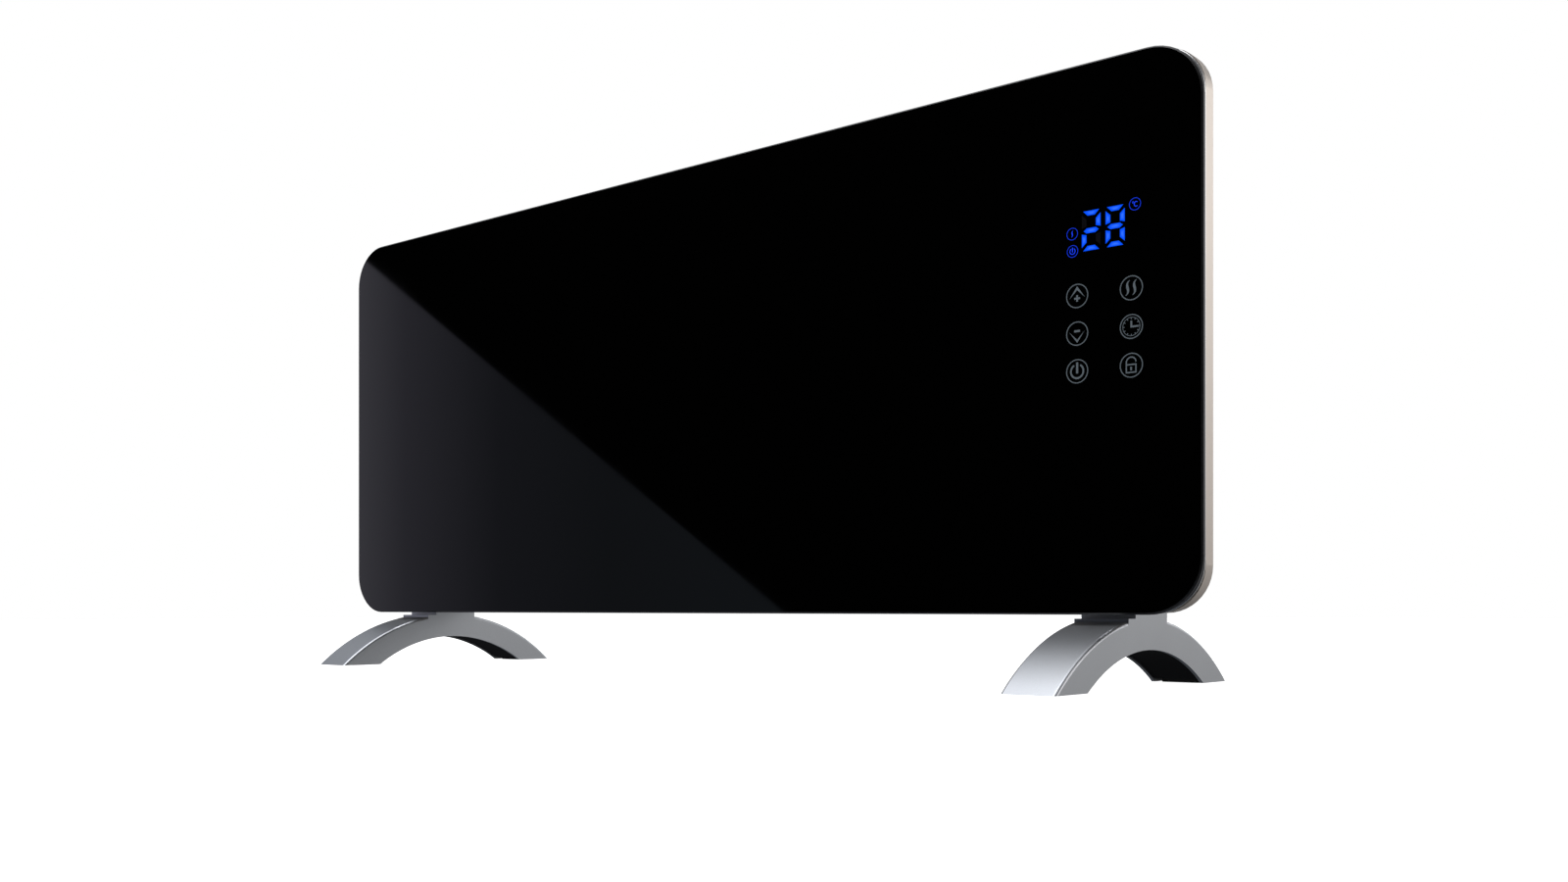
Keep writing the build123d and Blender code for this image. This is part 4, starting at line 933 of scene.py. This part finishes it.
# -------------------------------------------------------------------------------- studio
@dataclass
class Studio:
    """Camera, soft light, pale floor and the surroundings that the glass and metal reflect."""

    eye: tuple[float, float, float] = (0.8302, -0.9377, 0.0541)
    yaw_deg: float = 41.12
    lens_mm: float = 34.6
    shift: tuple[float, float] = (0.0367, 0.1058)
    floor_reach: tuple[float, float] = (5.0, 6.0)
    sky_fill: float = 0.55
    card_edge: tuple[Point2, Point2] = ((-0.4294, 0.4001), (0.1048, 0.0520))

    def build(self) -> None:
        """Sets up everything around the heater."""
        self._camera()
        self._floor()
        self._lights()
        self._surroundings()
        bpy.context.scene.view_settings.view_transform = "Standard"
        LOG.info("studio ready")

    def _camera(self) -> None:
        """Places a level camera just above the floor, right of the heater."""
        data = bpy.data.cameras.new("camera")
        data.lens = self.lens_mm
        data.sensor_width = 36.0
        data.shift_x, data.shift_y = self.shift
        data.clip_start = 0.01
        camera = bpy.data.objects.new("camera", data)
        camera.location = self.eye
        camera.rotation_euler = (math.radians(90), 0.0, math.radians(self.yaw_deg))
        bpy.context.scene.collection.objects.link(camera)
        bpy.context.scene.camera = camera

    def _floor(self) -> None:
        """Lays a seamless pale floor that glows a little, as a lit studio sweep does."""
        side, deep = self.floor_reach
        mesh = bpy.data.meshes.new("floor")
        corners = [(-side, -deep, 0), (side, -deep, 0), (side, deep, 0), (-side, deep, 0)]
        mesh.from_pydata(corners, [], [(0, 1, 2, 3)])
        floor = bpy.data.objects.new("floor", mesh)
        bpy.context.scene.collection.objects.link(floor)
        material = bpy.data.materials.new("Studio paper, matt white")
        material.use_nodes = True
        tree = material.node_tree
        shader = tree.nodes["Principled BSDF"]
        place = add_node(tree, "ShaderNodeTexCoord").outputs["Object"]
        fibre = add_node(
            tree, "ShaderNodeTexNoise", inputs={"Vector": place, "Scale": 400.0, "Detail": 3.0}
        )
        ramp = add_node(tree, "ShaderNodeValToRGB", inputs={0: fibre.outputs["Fac"]})
        set_ramp(ramp, [(0.3, (0.86, 0.86, 0.86, 1.0)), (0.7, (0.9, 0.9, 0.9, 1.0))])
        tree.links.new(ramp.outputs[0], shader.inputs["Base Color"])
        tree.links.new(ramp.outputs[0], shader.inputs["Emission Color"])
        shader.inputs["Emission Strength"].default_value = 1.1
        shader.inputs["Roughness"].default_value = 0.9
        shader.inputs["Specular IOR Level"].default_value = 0.1
        floor.data.materials.append(material)
        # The room alone lights the heater from below, so the paper is seen only directly.
        floor.visible_glossy = False
        floor.visible_diffuse = False

    def _lights(self) -> None:
        """Hangs a large top light and a tall light behind the right end."""
        self._softbox("top_light", (0.0, -0.5, 1.9), (0.1, -0.1, 0.2), (1.6, 1.2), 14.0, "#ffffff")
        self._softbox("end_light", (1.9, 1.0, 1.1), (0.44, 0.0, 0.3), (0.9, 1.4), 5.0, "#fffaf6")

    @staticmethod
    def _softbox(
        name: str,
        place: tuple[float, float, float],
        target: tuple[float, float, float],
        size: tuple[float, float],
        watts: float,
        colour: str,
    ) -> None:
        """Adds one rectangular area light.

        Args:
            name: name of the light.
            place: its centre.
            target: the point that it faces.
            size: width and height.
            watts: its power.
            colour: sRGB hex colour.
        """
        data = bpy.data.lights.new(name, "AREA")
        data.shape = "RECTANGLE"
        data.size, data.size_y = size
        data.energy = watts
        data.color = hex_to_linear(colour)[:3]
        light = bpy.data.objects.new(name, data)
        light.location = place
        light.rotation_euler = (Vector(target) - Vector(place)).to_track_quat("-Z", "Y").to_euler()
        bpy.context.scene.collection.objects.link(light)

    def _surroundings(self) -> None:
        """Builds the world: white to the eye, soft to matt surfaces, and a shaped room to gloss."""
        world = bpy.data.worlds.new("studio")
        bpy.context.scene.world = world
        world.use_nodes = True
        tree = world.node_tree
        tree.nodes.clear()
        way = add_node(tree, "ShaderNodeTexCoord").outputs["Generated"]
        parts = add_node(tree, "ShaderNodeSeparateXYZ", inputs={0: way})
        rays = add_node(tree, "ShaderNodeLightPath")
        room = self._room(tree, way, parts)
        fill = (self.sky_fill, self.sky_fill, self.sky_fill, 1.0)
        gloss = add_node(
            tree,
            "ShaderNodeMix",
            {"data_type": "RGBA"},
            {0: rays.outputs["Is Glossy Ray"], 6: fill, 7: room},
        )
        seen = add_node(
            tree,
            "ShaderNodeMix",
            {"data_type": "RGBA"},
            {0: rays.outputs["Is Camera Ray"], 6: gloss.outputs[2], 7: (1.0, 1.0, 1.0, 1.0)},
        )
        background = add_node(tree, "ShaderNodeBackground", inputs={0: seen.outputs[2]})
        add_node(tree, "ShaderNodeOutputWorld", inputs={0: background.outputs[0]})

    def _room(
        self, tree: bpy.types.NodeTree, way: bpy.types.NodeSocket, parts: bpy.types.Node
    ) -> bpy.types.NodeSocket:
        """Shapes what glossy surfaces see: a dark front, a slanted grey card, light behind and above.

        Args:
            tree: the world's node tree.
            way: direction of the ray.
            parts: node that splits the direction into X, Y and Z.

        Returns:
            The colour socket of the room.
        """
        face_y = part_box("glass_panel")[0].y
        twin = Vector((self.eye[0], 2 * face_y - self.eye[1], self.eye[2]))
        rays = [Vector((x, face_y, z)) - twin for x, z in self.card_edge]
        normal = rays[0].cross(rays[1]).normalized()
        if normal.dot(Vector((-0.4, face_y, 0.1)) - twin) < 0:
            normal.negate()
        over = add_node(
            tree, "ShaderNodeVectorMath", {"operation": "DOT_PRODUCT"}, {0: way, 1: tuple(normal)}
        )
        card = add_node(
            tree,
            "ShaderNodeMapRange",
            inputs={0: over.outputs["Value"], 1: -0.0006, 2: 0.0006, 3: 0.0, 4: 1.0},
        )
        # The card is brightest to the far left and fades towards the middle of the heater.
        slant = add_node(
            tree, "ShaderNodeMath", {"operation": "DIVIDE"}, {0: parts.outputs["X"], 1: parts.outputs["Y"]}
        )
        fade = add_node(
            tree, "ShaderNodeMapRange", inputs={0: slant.outputs[0], 1: 0.8, 2: 1.43, 3: 0.0, 4: 1.0}
        )
        card_tone = add_node(tree, "ShaderNodeValToRGB", inputs={0: fade.outputs[0]})
        set_ramp(
            card_tone,
            [
                (0.0, (0.11, 0.13, 0.155, 1.0)),
                (0.35, (0.09, 0.1, 0.12, 1.0)),
                (0.6, (0.115, 0.12, 0.15, 1.0)),
                (0.85, (0.27, 0.265, 0.33, 1.0)),
                (1.0, (0.52, 0.51, 0.60, 1.0)),
            ],
        )
        front = add_node(
            tree,
            "ShaderNodeMix",
            {"data_type": "RGBA"},
            {0: card.outputs[0], 6: (0.0, 0.0, 0.0, 1.0), 7: card_tone.outputs[0]},
        )
        # Behind the heater the room is dim at the floor, brightest a little above it and dark overhead.
        height = add_node(
            tree, "ShaderNodeMapRange", inputs={0: parts.outputs["Z"], 1: -0.7, 2: 0.5, 3: 0.0, 4: 1.0}
        )
        rear_tone = add_node(tree, "ShaderNodeValToRGB", inputs={0: height.outputs[0]})
        set_ramp(
            rear_tone,
            [
                (0.1, (0.02, 0.02, 0.02, 1.0)),
                (0.25, (0.3, 0.3, 0.3, 1.0)),
                (0.58, (0.4, 0.395, 0.39, 1.0)),
                (0.7, (1.0, 0.99, 0.98, 1.0)),
                (0.84, (1.7, 1.69, 1.68, 1.0)),
                (0.97, (0.3, 0.31, 0.32, 1.0)),
            ],
        )
        # It is darkest to the left and a little dimmer to the far right.
        leftward = self._step(tree, parts.outputs["X"], 0.1, -0.35)
        rear = self._blend(tree, leftward, rear_tone.outputs[0], (0.06, 0.065, 0.07, 1.0))
        rightward = self._step(tree, parts.outputs["X"], 0.45, 1.1)
        rear = self._blend(tree, rightward, rear, (0.16, 0.165, 0.17, 1.0))
        behind = self._step(tree, parts.outputs["Y"], -0.05, 0.15)
        around = self._blend(tree, behind, front.outputs[2], rear)
        # Overhead a broad pale softbox hangs over the left; the right is dark.
        right = self._step(tree, parts.outputs["X"], 0.05, 0.35)
        overhead = self._blend(tree, right, (1.0, 1.02, 1.07, 1.0), (0.05, 0.05, 0.055, 1.0))
        beyond = self._step(tree, parts.outputs["X"], -0.6, -0.95)
        overhead = self._blend(tree, beyond, overhead, (0.2, 0.21, 0.23, 1.0))
        above = self._step(tree, parts.outputs["Z"], 0.45, 0.8)
        return self._blend(tree, above, around, overhead)

    @staticmethod
    def _step(
        tree: bpy.types.NodeTree, value: bpy.types.NodeSocket, low: float, high: float
    ) -> bpy.types.NodeSocket:
        """Goes from 0 at low to 1 at high, and returns the socket."""
        step = add_node(tree, "ShaderNodeMapRange", inputs={0: value, 1: low, 2: high, 3: 0.0, 4: 1.0})
        return step.outputs[0]

    @staticmethod
    def _blend(
        tree: bpy.types.NodeTree, share: object, first: object, second: object
    ) -> bpy.types.NodeSocket:
        """Mixes two colours by a share of the second, and returns the colour socket."""
        return add_node(
            tree, "ShaderNodeMix", {"data_type": "RGBA"}, {0: share, 6: first, 7: second}
        ).outputs[2]


def main() -> None:
    """Builds the heater's look in order."""
    logging.basicConfig(level=logging.INFO, format="%(name)s: %(message)s")
    CarriedParts().build()
    GlassFront().build()
    RockerMarks().build()
    Studio().build()


if __name__ == "__main__":
    main()
